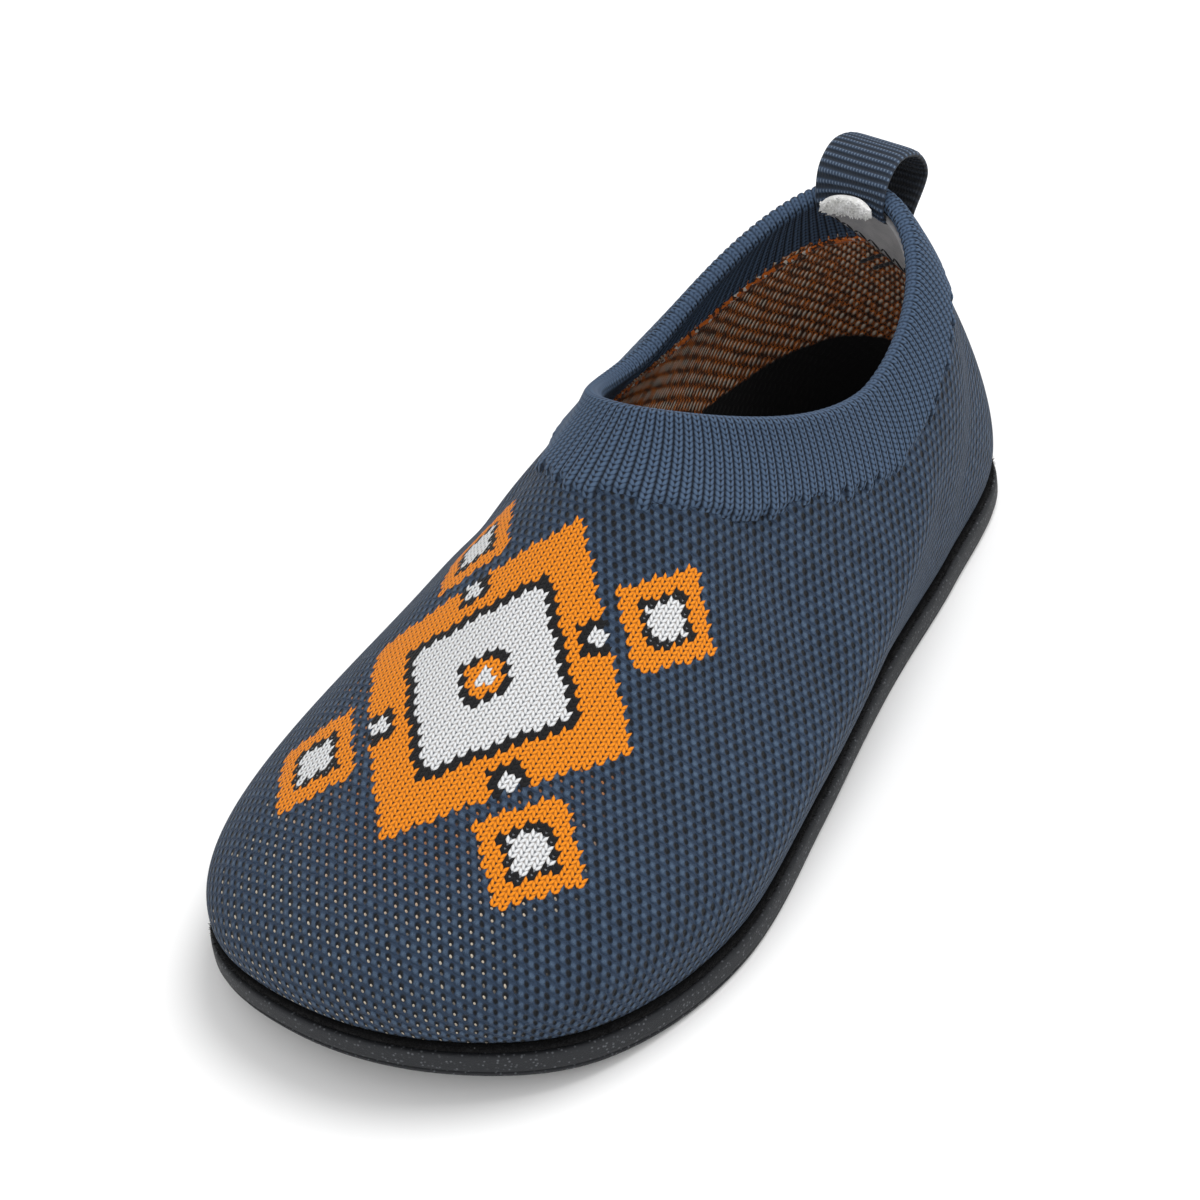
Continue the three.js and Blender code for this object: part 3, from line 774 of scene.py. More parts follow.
def ribbed_knit():
    material, sheet, shader, on_object, uv = start_material("Navy ribbed knit", 0.8, sheen=0.03)
    uv3 = sheet.vector(*sheet.parts(uv)[:2])
    loops = sheet.group(GROUPS["plain"], {"Place": uv3, "Width": 1.0, "Height": 0.88, "Lean": 1.4})
    x, depth, _ = sheet.parts(uv)
    side = sheet.math("ABSOLUTE", sheet.minus(sheet.math("FRACT", x), 0.5))
    painted_channel_shade = sheet.step(side, 0.28, 0.5)
    rolled = sheet.times(sheet.step(depth, -0.8, -1.6), sheet.step(depth, -3.4, -2.8))
    # Loops painted lighter where their relief is highest: a painted highlight
    yarn = sheet.blend(sheet.step(loops["Relief"], 0.45, 1.0), colour("1e2d42"), colour("465971"))
    # Gaps between the legs painted near black: painted shade
    yarn = sheet.blend(sheet.times(loops["Gap"], 0.85), yarn, colour("08101b"))
    # Channels between the ribs painted near black: painted shade
    yarn = sheet.blend(sheet.times(painted_channel_shade, 0.85), yarn, colour("050b14"))
    yarn = sheet.blend(sheet.times(rolled, 0.35), yarn, colour("3d4f68"))
    sheet.join(yarn, shader.inputs["Base Color"])
    bumped(sheet, shader, sheet.times(loops["Relief"], sheet.minus(1.0, rolled)), 0.22)
    return material


def felt_black():
    material, sheet, shader, on_object, _ = start_material("Black needled felt", 0.95, sheen=0.02, gloss=0.1)
    nap = sheet.group(GROUPS["nap"], {"Place": on_object, "Hair": 3.2, "Clump": 0.5})
    specks = sheet.group(GROUPS["lint"], {"Place": on_object, "Spacing": 0.9, "Amount": 0.12})
    # Hair tips painted lighter: a painted highlight
    base = sheet.blend(nap["Tips"], colour("050506"), colour("1f2023"))
    base = sheet.blend(sheet.times(specks["Mask"], 0.35), base, colour("8a8c90"))
    sheet.join(base, shader.inputs["Base Color"])
    bumped(sheet, shader, nap["Relief"], 0.35)
    return material


def sole_rubber():
    material, sheet, shader, on_object, _ = start_material("Charcoal rubber", 0.62, gloss=0.3)
    grain = sheet.noise(on_object, 4.5, 3.0, 0.6)
    cells = sheet.add("TexVoronoi", {"Vector": on_object, "Scale": 1.7})
    spots = sheet.minus(1.0, sheet.step(cells.outputs["Distance"], 0.15, 0.42))
    kept = sheet.step(sheet.random(cells.outputs["Position"]), 0.35, 0.75)
    base = sheet.blend(grain, colour("181a1d"), colour("25272b"))
    base = sheet.blend(sheet.times(sheet.times(spots, kept), 0.55), base, colour("6c6f74"))
    _, _, z = sheet.parts(on_object)
    dirt = sheet.times(sheet.step(z, 1.6, 0.0), sheet.step(sheet.noise(on_object, 0.25, 3.0), 0.4, 0.7))
    base = sheet.blend(sheet.times(dirt, 0.25), base, colour("8c8a86"))
    sheet.join(base, shader.inputs["Base Color"])
    rough = sheet.math("MULTIPLY_ADD", grain, 0.25, 0.5)
    sheet.join(rough, shader.inputs["Roughness"])
    bumped(sheet, shader, grain, 0.12)
    return material


def insole_cloth():
    material, sheet, shader, on_object, _ = start_material("Black insole cloth", 0.9, sheen=0.02, gloss=0.1)
    x, y, _ = sheet.parts(on_object)
    weave = sheet.times(
        sheet.math("SINE", sheet.times(sheet.plus(x, y), 6.5)),
        sheet.math("SINE", sheet.times(sheet.minus(x, y), 6.5)),
    )
    nap = sheet.group(GROUPS["nap"], {"Place": on_object, "Hair": 2.2, "Clump": 0.4})
    # Hair tips painted lighter: a painted highlight
    base = sheet.blend(nap["Tips"], colour("0b0b0d"), colour("202125"))
    sheet.join(base, shader.inputs["Base Color"])
    bumped(sheet, shader, sheet.plus(nap["Relief"], sheet.times(weave, 0.4)), 0.15)
    return material


def lining_mesh():
    """Coarse slanting mesh of brown and orange yarn with a pale grey painted highlight on its loops' high
    points
    """
    material, sheet, shader, on_object, uv = start_material("Brown lining mesh", 0.85, sheen=0.1)
    x, y, _ = sheet.parts(uv)
    turned = sheet.vector(
        sheet.minus(sheet.times(x, 0.82), sheet.times(y, 0.57)),
        sheet.plus(sheet.times(y, 0.82), sheet.times(x, 0.57)),
    )
    grid = {"Place": turned, "Width": 1.1, "Height": 2.0, "Stagger": 1.0}
    cell = sheet.group(GROUPS["cells"], grid)
    a = sheet.over(cell["Across"], 0.36)
    b = sheet.over(cell["Along"], 0.44)
    away = sheet.plus(sheet.times(a, a), sheet.times(b, b))
    bulge = sheet.math("SQRT", sheet.math("MAXIMUM", sheet.minus(1.0, away), 0.0))
    # Painted highlight: pale where a loop bulges highest
    pale = sheet.step(sheet.plus(bulge, sheet.times(sheet.minus(cell["Chance"], 0.5), 0.5)), 0.45, 1.0)
    shift = sheet.step(sheet.noise(on_object, 0.9, 2.0), 0.35, 0.65)
    warm = sheet.blend(shift, colour("5a3824"), colour("c56c24"))
    base = sheet.blend(sheet.times(pale, 0.8), warm, colour("d9ccba"))
    # Recesses between the loops painted near black: painted shade
    base = sheet.blend(sheet.step(away, 1.3, 2.1), base, colour("1a100b"))
    # The lining is painted near black up to 15 mm from its foot, and its relief there mostly flattened
    dark_band = sheet.step(sheet.plus(y, sheet.noise(on_object, 0.5, 2.0)), DARK_BAND_RISE + 0.6, DARK_BAND_RISE)
    base = sheet.blend(dark_band, base, colour("08080a"))
    sheet.join(base, shader.inputs["Base Color"])
    bumped(sheet, shader, sheet.times(bulge, sheet.minus(1.0, sheet.times(dark_band, 0.85))), 0.45)
    return material


def raw_edge():
    material, sheet, shader, on_object, _ = start_material("Raw lining edge", 0.9, sheen=0.2)
    tufts = sheet.add("TexVoronoi", {"Vector": on_object, "Scale": 2.0})
    chance = sheet.random(tufts.outputs["Position"])
    base = sheet.blend(sheet.step(chance, 0.3, 0.34), colour("43230f"), colour("bf5f14"))
    base = sheet.blend(sheet.step(chance, 0.84, 0.87), base, colour("c9c2b8"))
    sheet.join(base, shader.inputs["Base Color"])
    bumped(sheet, shader, sheet.noise(on_object, 4.0, 3.0), 0.3)
    return material


def grey_suede():
    material, sheet, shader, on_object, _ = start_material("Grey suede", 0.95, sheen=0.4)
    nap = sheet.group(GROUPS["nap"], {"Place": on_object, "Hair": 4.0, "Clump": 0.35})
    base = sheet.blend(nap["Patches"], colour("8a898c"), colour("9d9b9d"))
    # Nap tips painted lighter: a painted highlight
    base = sheet.blend(sheet.times(nap["Tips"], 0.5), base, colour("b3b1b2"))
    sheet.join(base, shader.inputs["Base Color"])
    bumped(sheet, shader, nap["Relief"], 0.18)
    return material


def white_terry():
    material, sheet, shader, on_object, _ = start_material("White terry", 1.0, sheen=0.3)
    nap = sheet.group(GROUPS["nap"], {"Place": on_object, "Hair": 3.0, "Clump": 0.9})
    base = sheet.blend(nap["Patches"], colour("e9e9e6"), colour("ffffff"))
    sheet.join(base, shader.inputs["Base Color"])
    bumped(sheet, shader, nap["Relief"], 0.5)
    return material


def navy_webbing():
    material, sheet, shader, on_object, uv = start_material("Navy webbing", 0.6, sheen=0.05)
    x, y, _ = sheet.parts(uv)
    rib = sheet.math("COSINE", sheet.times(sheet.over(y, LOOP_RIB_PITCH), 2 * math.pi))
    thread = sheet.math("SINE", sheet.times(x, 2 * math.pi / 0.55))
    inside = sheet.step(x, 40.0, 60.0)
    fibres = sheet.noise(sheet.vector(sheet.times(x, 9.0), sheet.times(y, 1.6)), 1.0, 2.0)
    # Low part of each rib painted near black: painted shade in the channels
    base = sheet.blend(sheet.step(rib, -0.6, 0.8), colour("050a12"), colour("2a394d"))
    base = sheet.blend(sheet.times(fibres, 0.35), base, colour("35465c"))
    # Light dots on the rib crests: a painted highlight
    rib_top_highlight = sheet.times(sheet.step(rib, 0.1, 1.0), sheet.step(thread, 0.1, 0.9))
    base = sheet.blend(sheet.times(rib_top_highlight, 0.55), base, colour("76879c"))
    # Face turned in towards the collar painted near black: painted shade
    base = sheet.blend(sheet.times(inside, 0.85), base, colour("08090c"))
    sheet.join(base, shader.inputs["Base Color"])
    bumped(sheet, shader, sheet.plus(sheet.times(thread, 0.5), fibres), 0.06)
    return material


def black_thread():
    material, sheet, shader, on_object, _ = start_material("Black sewing thread", 0.7, sheen=0.2)
    twist = sheet.noise(on_object, 6.0, 2.0)
    sheet.join(sheet.blend(twist, colour("0a0a0c"), colour("2a2a2e")), shader.inputs["Base Color"])
    bumped(sheet, shader, twist, 0.05)
    return material


# Pieces

INNER_BAND_EXTRA = 2.0
EDGE_BEAD = 0.42
RAGGED_STEP = 0.45
SUEDE_TOP = 1.2
SUEDE_HEIGHT = 20.0
SUEDE_INNER_EXTRA = 0.022

# Tucks in the lining: from and to sideways of the heel's middle, from and to below the lip
LINING_DARTS = [(-4.5, 3.0, 18.5, 14.5), (-2.5, 3.5, 20.0, 16.6)]
DART_STITCHES = 5
DART_PROUD = 0.35

# Soft troughs of the worn-in knit, and ridges where the depth is negative: from and to as
# shares s round the last and t up the face, width and depth in millimetres
FOLDS = [
    ((0.105, 0.93), (0.195, 0.55), 5.0, 0.70),
    ((0.135, 0.97), (0.235, 0.70), 3.5, -0.35),
    ((0.895, 0.93), (0.800, 0.55), 5.0, 0.60),
    ((0.700, 0.75), (0.745, 0.30), 6.0, 0.60),
    ((0.425, 0.72), (0.375, 0.25), 5.0, 0.50),
    ((0.580, 0.70), (0.625, 0.28), 4.5, 0.40),
    ((0.300, 0.80), (0.335, 0.35), 6.0, 0.45),
]
FELT_BULGE = 0.45
FELT_RAGGED = 0.06
HAIR_COUNT = 4500
TERRY_LOOPS = 420
PATCH_STITCHES = 16
LOOP_STITCHES = 7

BODY_COLUMNS = 520
BODY_ROWS = 96
RIB_COLUMNS = 8
BAND_ROWS = 26
LIP_ROWS = 7
SOLE_COLUMNS = 384
FELT_COLUMNS = 1400
FELT_ROWS = 6
PATTERN_COLUMNS = 72
PATTERN_ROWS = 14
PATTERN_ROUNDS = 60


def dress(piece, slot, *nodes):
    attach(piece, "root")
    if nodes:
        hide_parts(*nodes)
    return piece


def pattern_piece():
    """The body of the upper laid flat, from the heel's seam by the outer side and back"""
    s = HEEL_AT - np.arange(PATTERN_COLUMNS + 1) / PATTERN_COLUMNS
    start = below(s, band_depth(s))
    t = np.linspace(0, 1, PATTERN_ROWS + 1)[:, None] * start
    flat = flatten(face(s + 0 * t, t), PATTERN_ROUNDS)
    nose = flat[:, PATTERN_COLUMNS // 2]
    ahead = nose[PATTERN_ROWS // 2] - nose[-1]
    turn = math.atan2(ahead[0], ahead[1])
    c, d = math.cos(turn), math.sin(turn)
    flat = flat - nose[-1]
    return np.stack([c * flat[..., 0] - d * flat[..., 1], d * flat[..., 0] + c * flat[..., 1]], -1)


def folded(points, s, t):
    """Moves points of the wall in or out along the folds"""
    move = np.zeros(points.shape[:-1])
    for start, end, width, depth in FOLDS:
        share = np.linspace(0, 1, 17)
        path = face(mix(start[0], end[0], share), mix(start[1], end[1], share))
        near = np.full(move.shape, np.inf)
        for spot in path:
            near = np.minimum(near, np.linalg.norm(points - spot, axis=-1))
        move += depth * np.exp(-((near / width) ** 2))
    return points - (move * smooth(t / 0.15))[..., None] * face_normal(s, t)


def knit_body(material):
    columns = np.arange(BODY_COLUMNS + 1)
    s = HEEL_AT - columns / BODY_COLUMNS
    start = below(s, band_depth(s) - 1.5)
    share = np.linspace(0, 1, BODY_ROWS)[:, None]
    t = share * start
    outer = folded(behind(s + 0 * t, t, 0 * t), s + 0 * t, t)[:, :-1]
    inner = folded(behind(s + 0 * t, t, KNIT_THICKNESS + 0 * t), s + 0 * t, t)[::-8, :-1]
    points = np.concatenate([outer, inner])
    faces = grid_faces(len(points), BODY_COLUMNS, looped=True)[:, ::-1]
    flat = pattern_piece()
    rows = t / below(s, band_depth(s)) * PATTERN_ROWS
    place_flat = between_rows(flat, rows, columns * PATTERN_COLUMNS / BODY_COLUMNS + 0 * t)
    every = np.concatenate([place_flat, place_flat[::-8], place_flat[:1]])
    uv = grid_corners(every[..., 0], every[..., 1])[:, ::-1]
    piece = make_mesh("knit_body", points, faces, material, uv)
    return dress(piece, "navy_knit", "upper")


def even_collar(count):
    """Shares s evenly spaced along the collar's edge, from the heel by the outer side"""
    fine = HEEL_AT - np.linspace(0, 1, 4001)
    steps = np.linalg.norm(np.diff(collar_line(fine), axis=0), axis=-1)
    travelled = np.concatenate([[0], np.cumsum(steps)])
    return np.interp(np.linspace(0, travelled[-1], count + 1), travelled, fine)


def inner_band(s):
    return band_depth(s) + INNER_BAND_EXTRA


def ribbed_collar(material):
    """Knitted ribs down the outside, over the rolled lip and down the inside"""
    count = RIB_COUNT * RIB_COLUMNS
    s = even_collar(count)
    rib_at = np.arange(count + 1) / RIB_COLUMNS
    chance = np.random.default_rng(7).integers(-2, 3, RIB_COUNT + 1) * RAGGED_STEP
    ragged = chance[np.minimum(rib_at.astype(int), RIB_COUNT) % RIB_COUNT]
    crest = 1 - np.abs(2 * (rib_at % 1) - 1) ** 2.4
    end = band_depth(s) + 1.0 + ragged
    share = np.linspace(1, 0, BAND_ROWS)[:, None]
    depth = end * share
    fade = smooth((end - depth) / 1.6)
    proud = RIB_STEP * fade - 0.25 * (1 - fade) + RIB_RELIEF * crest * fade
    outer = behind(s + 0 * depth, below(s, depth), -proud)
    top = np.ones_like(s)
    up, normal = climb(s, top), face_normal(s, top)
    middle = behind(s, top, top * (WALL - LIP_ROLL))
    turns = np.pi * np.arange(1, LIP_ROWS + 1)[:, None, None] / (LIP_ROWS + 1)
    swell = LIP_ROLL + RIB_RELIEF * crest[:, None] * np.abs(np.cos(turns)) ** 1.5
    lip = middle + swell * (np.cos(turns) * normal + np.sin(turns) * up)
    inner_depth = inner_band(s) * share[::-1]
    inner_relief = RIB_RELIEF * crest + 0 * inner_depth
    inner = behind(s + 0 * inner_depth, below(s, inner_depth), WALL + inner_relief - 0.1)
    points = np.concatenate([outer, lip, inner])[:, :-1]
    faces = grid_faces(len(points), count, looped=True)[:, ::-1]
    roll = -np.arange(1, LIP_ROWS + 1)[:, None] * 0.6 + 0 * s
    v = np.concatenate([depth, roll, -LIP_ROWS * 0.6 - inner_depth, depth[:1]])
    uv = grid_corners(rib_at + 0 * v, v)[:, ::-1]
    return dress(make_mesh("ribbed_collar", points, faces, material, uv), "navy_knit")


def lining(material):
    count = 360
    s = HEEL_AT - np.arange(count + 1) / count
    start = below(s, inner_band(s) - 1.0)
    t = np.linspace(0, 1, 60)[:, None] * start
    inner = folded(behind(s + 0 * t, t, WALL - 0.05 + 0 * t), s + 0 * t, t)[:, :-1]
    outer = folded(behind(s + 0 * t, t, WALL - 0.7 + 0 * t), s + 0 * t, t)[::-6, :-1]
    points = np.concatenate([inner, outer])
    faces = grid_faces(len(points), count, looped=True)
    step = np.linalg.norm(np.diff(face(s, start / 2), axis=0), axis=-1)
    u = np.concatenate([[0], np.cumsum(step)])
    high = np.linalg.norm(np.diff(face(s + 0 * t, t), axis=0), axis=-1)
    v = np.concatenate([0 * s[None], np.cumsum(high, 0)])
    every = np.concatenate([v, v[::-6], v[:1]])
    uv = grid_corners(u + 0 * every, every)
    return dress(make_mesh("lining", points, faces, material, uv), "navy_knit")


def tube_frames(path):
    """Directions across a closed path, level and upright"""
    along = unit(np.roll(path, -1, 0) - np.roll(path, 1, 0))
    level = unit(np.cross(along, [0, 0, 1]))
    return level, np.cross(level, along)


def raw_lining_edge(material):
    """Frayed bead where the lining is sewn under the inner ribs"""
    count, round_count = 900, 10
    s = even_collar(count)[:-1]
    path = behind(s, below(s, inner_band(s) + 0.4), WALL + 0.15 + 0 * s)
    level, upright = tube_frames(path)
    turn = 2 * np.pi * np.arange(round_count) / round_count
    chance = np.random.default_rng(11).uniform(0.55, 1.25, (count, round_count))
    chance = (chance + np.roll(chance, 1, 0) + np.roll(chance, 1, 1)) / 3
    radius = EDGE_BEAD * chance[..., None]
    across = np.cos(turn)[:, None] * level[:, None] + 1.5 * np.sin(turn)[:, None] * upright[:, None]
    points = path[:, None] + radius * across
    faces = grid_faces(count, round_count, looped=True)
    return dress(make_mesh("raw_lining_edge", points, faces, material), "navy_knit")


def rungs(ring, height, steps):
    """Rows of points across a closed ring, from its toe to its heel"""
    half = len(ring) // 2
    a = ring[: half + 1]
    b = np.concatenate([ring[:1], ring[:half - 1:-1]])
    share = np.linspace(0, 1, steps + 1)[:, None]
    points = a[:, None] + (b - a)[:, None] * share
    points[..., 2] = height(points[..., 0])
    return points


def capped(rings, low, high, steps):
    """Points and quads of a closed body through rings, capped by rungs below and above"""
    count = rings.shape[1]
    under, over = rungs(rings[0], low, steps), rungs(rings[-1], high, steps)
    sides = grid_faces(len(rings), count)
    first = rings.shape[0] * count
    below_faces = grid_faces(*under.shape[:2], first=first, closed=False)
    above_faces = grid_faces(*over.shape[:2], first=first + under.shape[0] * under.shape[1], closed=False)
    points = np.concatenate([part.reshape(-1, 3) for part in (rings, under, over)])
    return points, np.concatenate([sides, below_faces, above_faces[:, ::-1]])


def is_inside(outline, x, y):
    a, b = outline, np.roll(outline, -1, 0)
    across = (a[:, 1] > y) != (b[:, 1] > y)
    at = a[across, 0] + (y - a[across, 1]) / (b[across, 1] - a[across, 1]) * (b[across, 0] - a[across, 0])
    return np.count_nonzero(x < at) % 2 == 1


def lugs():
    """Six-sided lugs of the tread, each with a small chamfer"""
    ring_at = np.arange(64) / 64
    limit = sole_point(ring_at, RIM_WIDTH + LUG_MARGIN + LUG_WIDTH / 2 + 0 * ring_at, lambda x: 0 * x)
    row_step = LUG_PITCH * math.sqrt(3) / 2
    reach = math.ceil(SOLE_LENGTH / LUG_PITCH)
    turn = np.pi / 3 * np.arange(6)
    corner = np.stack([np.cos(turn), np.sin(turn)], -1) * LUG_WIDTH / math.sqrt(3)
    shares = [(1.0, TREAD_DEPTH + 0.5), (1.0, LUG_CHAMFER), (1 - 2 * LUG_CHAMFER / LUG_WIDTH, 0), (0, 0)]
    points, faces = [], []
    for row in range(-reach, reach + 1):
        for column in range(-reach, reach + 1):
            x = LUG_ROW_AT * SOLE_LENGTH + row * row_step
            y = (column + (row % 2) / 2) * LUG_PITCH
            if not is_inside(limit, x, y):
                continue
            faces.append(grid_faces(len(shares), 6, first=len(points))[:, ::-1])
            for share, height in shares:
                flat = corner * share + [x, y]
                points.extend([px, py, underside(px) + height] for px, py in flat)
    return np.array(points), np.concatenate(faces)


def outsole(material):
    s = np.arange(SOLE_COLUMNS) / SOLE_COLUMNS
    recess = lambda x: underside(x) + TREAD_DEPTH
    top = lambda x: lift(x) + SOLE_THICKNESS
    inner_rim = sole_point(s, RIM_WIDTH + CLEARANCE + 0 * s, recess)
    rings = [inner_rim, sole_point(s, RIM_WIDTH + 0 * s, underside)]
    for up, inset in SOLE_SIDE:
        height = lambda x, up=up: mix(underside(x), top(x), up)
        rings.append(sole_point(s, inset * SOLE_EDGE_ROUND + 0 * s, height))
    points, faces = capped(np.array(rings), recess, top, 24)
    more, lug_faces = lugs()
    faces = np.concatenate([faces, lug_faces + len(points)])
    points = np.concatenate([points, more])
    return dress(make_mesh("rubber_outsole", points, faces, material, weld=True), "sole_rubber", "outsole")


def felt_board(material):
    """Black felt whose fuzzy cut edge shows between the rubber and the knit"""
    s = np.arange(FELT_COLUMNS) / FELT_COLUMNS
    rng = np.random.default_rng(3)
    rings = []
    for k in range(FELT_ROWS + 1):
        turn = np.pi * k / FELT_ROWS
        up = BOARD_THICKNESS * (1 - math.cos(turn)) / 2
        bulge = FELT_BULGE * math.sin(turn) ** 0.6
        ragged = rng.normal(0, FELT_RAGGED, len(s)) * math.sin(turn)
        inset = BOARD_INSET + 0.35 - bulge + ragged
        rings.append(sole_point(s, inset, lambda x: BOARD_BASE + up + lift(x)))
    base = lambda x: BOARD_BASE + lift(x)
    points, faces = capped(np.array(rings), base, lambda x: base(x) + BOARD_THICKNESS, 6)
    return dress(make_mesh("felt_board", points, faces, material, weld=True), "black_felt", "lasting_board")


def threads(name, starts, ends, radius, material, sides=6, rows=6):
    """Short spindles of thread from starts to ends, joined as one piece"""
    starts, ends = np.asarray(starts), np.asarray(ends)
    axis = unit(ends - starts)
    helper = np.where(np.abs(axis[:, 2:]) > 0.9, [[1.0, 0, 0]], [[0, 0, 1.0]])
    first = unit(np.cross(axis, helper))
    second = np.cross(axis, first)
    turn = 2 * np.pi * np.arange(sides) / sides
    round_way = np.cos(turn)[:, None] * first[:, None] + np.sin(turn)[:, None] * second[:, None]
    share = np.linspace(0, 1, rows + 1)
    girth = np.sin(np.pi * share) ** 0.6 * np.broadcast_to(radius, len(starts))[:, None]
    spine = starts[:, None] + (ends - starts)[:, None] * share[:, None]
    points = spine[:, :, None] + girth[:, :, None, None] * round_way[:, None]
    one = grid_faces(rows + 1, sides)
    first_point = np.arange(len(starts))[:, None, None] * (rows + 1) * sides
    return make_mesh(name, points, (one + first_point).reshape(-1, 4), material, weld=True)


def felt_hairs(material):
    """Stray fibres along the felt's edge"""
    rng = np.random.default_rng(5)
    count = HAIR_COUNT
    s = rng.uniform(0, 1, count)
    up = rng.uniform(0.15, 0.95, count) * BOARD_THICKNESS
    root = sole_point(s, BOARD_INSET + 0.1 + 0 * s, lambda x: BOARD_BASE + lift(x))
    root[:, 2] += up
    lean = rng.normal(0, 0.7, (count, 3))
    lean[:, 2] = np.abs(lean[:, 2]) * 0.6
    away = unit(outward(sole_line, s) + lean)
    length = rng.uniform(0.25, 0.85, count)[:, None]
    piece = threads("felt_hairs", root, root + away * length, 0.045, material, sides=3, rows=3)
    return dress(piece, "black_felt")


def bent_plate(columns, rows, under, over):
    """Points and quads of a closed plate between two faces over u and v"""
    u, v = np.meshgrid(np.linspace(0, 1, columns + 1), np.linspace(0, 1, rows + 1))
    points = np.concatenate([under(u, v).reshape(-1, 3), over(u, v).reshape(-1, 3)])
    size = (columns + 1) * (rows + 1)
    low = grid_faces(rows + 1, columns + 1, closed=False)
    k = np.arange(columns)
    j = np.arange(rows) * (columns + 1)
    last = rows * (columns + 1)
    sides = [
        np.stack([k, k + 1, k + 1 + size, k + size], -1),
        np.stack([last + k + 1, last + k, last + k + size, last + k + 1 + size], -1),
        np.stack([j + columns + 1, j, j + size, j + columns + 1 + size], -1),
        np.stack([j + columns, j + 2 * columns + 1, j + 2 * columns + 1 + size, j + columns + size], -1),
    ]
    return points, np.concatenate([low[:, ::-1], low + size, *sides])


def patch_spot(u, v, depth):
    s = mix(HEEL_AT - PATCH_OUTER_REACH, HEEL_AT + PATCH_INNER_REACH + SUEDE_INNER_EXTRA, u)
    height = SUEDE_HEIGHT * np.maximum(np.sin(np.pi * u**0.8) ** 0.9, 0.1)
    flat = s.ravel()
    depths = (SUEDE_TOP + height * (1 - v)).ravel()
    t = np.array([below(flat[k : k + 1], distance)[0] for k, distance in enumerate(depths)])
    return behind(flat, t, depth + 0 * flat).reshape(*u.shape, 3)


def heel_patch(material):
    front = LINING_FACE + PATCH_THICKNESS

    def shown_face(u, v):
        return patch_spot(u, v, front)

    def glued_face(u, v):
        return patch_spot(u, v, LINING_FACE)

    points, faces = bent_plate(40, 10, shown_face, glued_face)
    return dress(make_mesh("suede_patch", points, faces, material), "grey_suede", "heel_patch")


def patch_stitches(material):
    """Zigzag that holds the suede's lower edge"""
    u = np.linspace(0.06, 0.94, 2 * PATCH_STITCHES)
    v = np.where(np.arange(len(u)) % 2 == 0, 0.03, 0.17)
    spots = patch_spot(u[None], v[None], LINING_FACE + PATCH_THICKNESS + 0.08)[0]
    piece = threads("patch_stitches", spots[:-1], spots[1:], 0.16, material)
    return dress(piece, "black_felt")


def lining_darts(material):
    """Two short sewn tucks in the lining at the back of the heel"""
    starts, ends = [], []
    for left, right, low, high in LINING_DARTS:
        for k in range(DART_STITCHES):
            a, b = k / DART_STITCHES, (k + 1.3) / DART_STITCHES
            starts.append(heel_spot(mix(left, right, a), mix(low, high, a), WALL + DART_PROUD))
            ends.append(heel_spot(mix(left, right, b), mix(low, high, b), WALL + DART_PROUD))
    piece = threads("lining_darts", starts, ends, DART_PROUD, material)
    return dress(piece, "navy_knit")


def terry_pad(material):
    """Small fluffy pad at the foot of the pull loop"""
    seat = LIP_ROLL + LOOP_EASE + LOOP_THICKNESS + 2 * CLEARANCE
    columns, rows = 48, 24
    middles = np.array([lip_middle((0.5 - k / columns) * PAD_WIDTH) for k in range(columns + 1)])
    rng = np.random.default_rng(17)

    def pad_face(is_front):
        def spot(u, v):
            middle = middles[np.round(u * columns).astype(int)]
            sideways = 1 - np.abs(2 * u - 1) ** 3
            upright = 1 - np.abs(2 * v - 1) ** 2
            crown = np.sqrt(np.maximum(sideways * upright, 0))
            bulk = 0.45 + 0.55 * crown if is_front else 0.3 * (1 - crown)
            bulk = bulk + (rng.normal(0, 0.07, u.shape) * crown if is_front else 0)
            height = (v - 0.5) * PAD_HEIGHT * np.sqrt(np.maximum(sideways, 0.2))
            offset = np.stack([seat + PAD_THICKNESS * bulk, 0 * u, height - PAD_DROP], -1)
            return middle + offset
        return spot

    points, faces = bent_plate(columns, rows, pad_face(True), pad_face(False))
    piece = make_mesh("terry_pad", points, faces, material)
    dress(piece, "white_terry", "heel_pad")
    return piece


def terry_loops(material):
    """Loops of pile that stand out of the pad"""
    rng = np.random.default_rng(19)
    seat = LIP_ROLL + LOOP_EASE + LOOP_THICKNESS + 2 * CLEARANCE
    at = np.linspace(-PAD_WIDTH / 2, PAD_WIDTH / 2, 5)
    spots = np.array([lip_middle(sideways) for sideways in at])
    starts = []
    for _ in range(TERRY_LOOPS):
        u, v = rng.uniform(0.04, 0.96), rng.uniform(0.05, 0.95)
        sideways = (0.5 - u) * PAD_WIDTH
        middle = np.array([np.interp(sideways, at, spots[:, axis]) for axis in range(3)])
        crown = math.sqrt(max((1 - abs(2 * u - 1) ** 3) * (1 - abs(2 * v - 1) ** 2), 0))
        height = (v - 0.5) * PAD_HEIGHT * math.sqrt(max(1 - abs(2 * u - 1) ** 3, 0.2))
        starts.append(middle + [seat + PAD_THICKNESS * (0.4 + 0.55 * crown), 0, height - PAD_DROP])
    starts = np.array(starts)
    lean = unit(rng.normal(0, 0.8, (len(starts), 3)) + [0.8, 0, 0.3])
    piece = threads("terry_loops", starts, starts + 0.55 * lean, 0.11, material, sides=5, rows=4)
    return dress(piece, "white_terry")


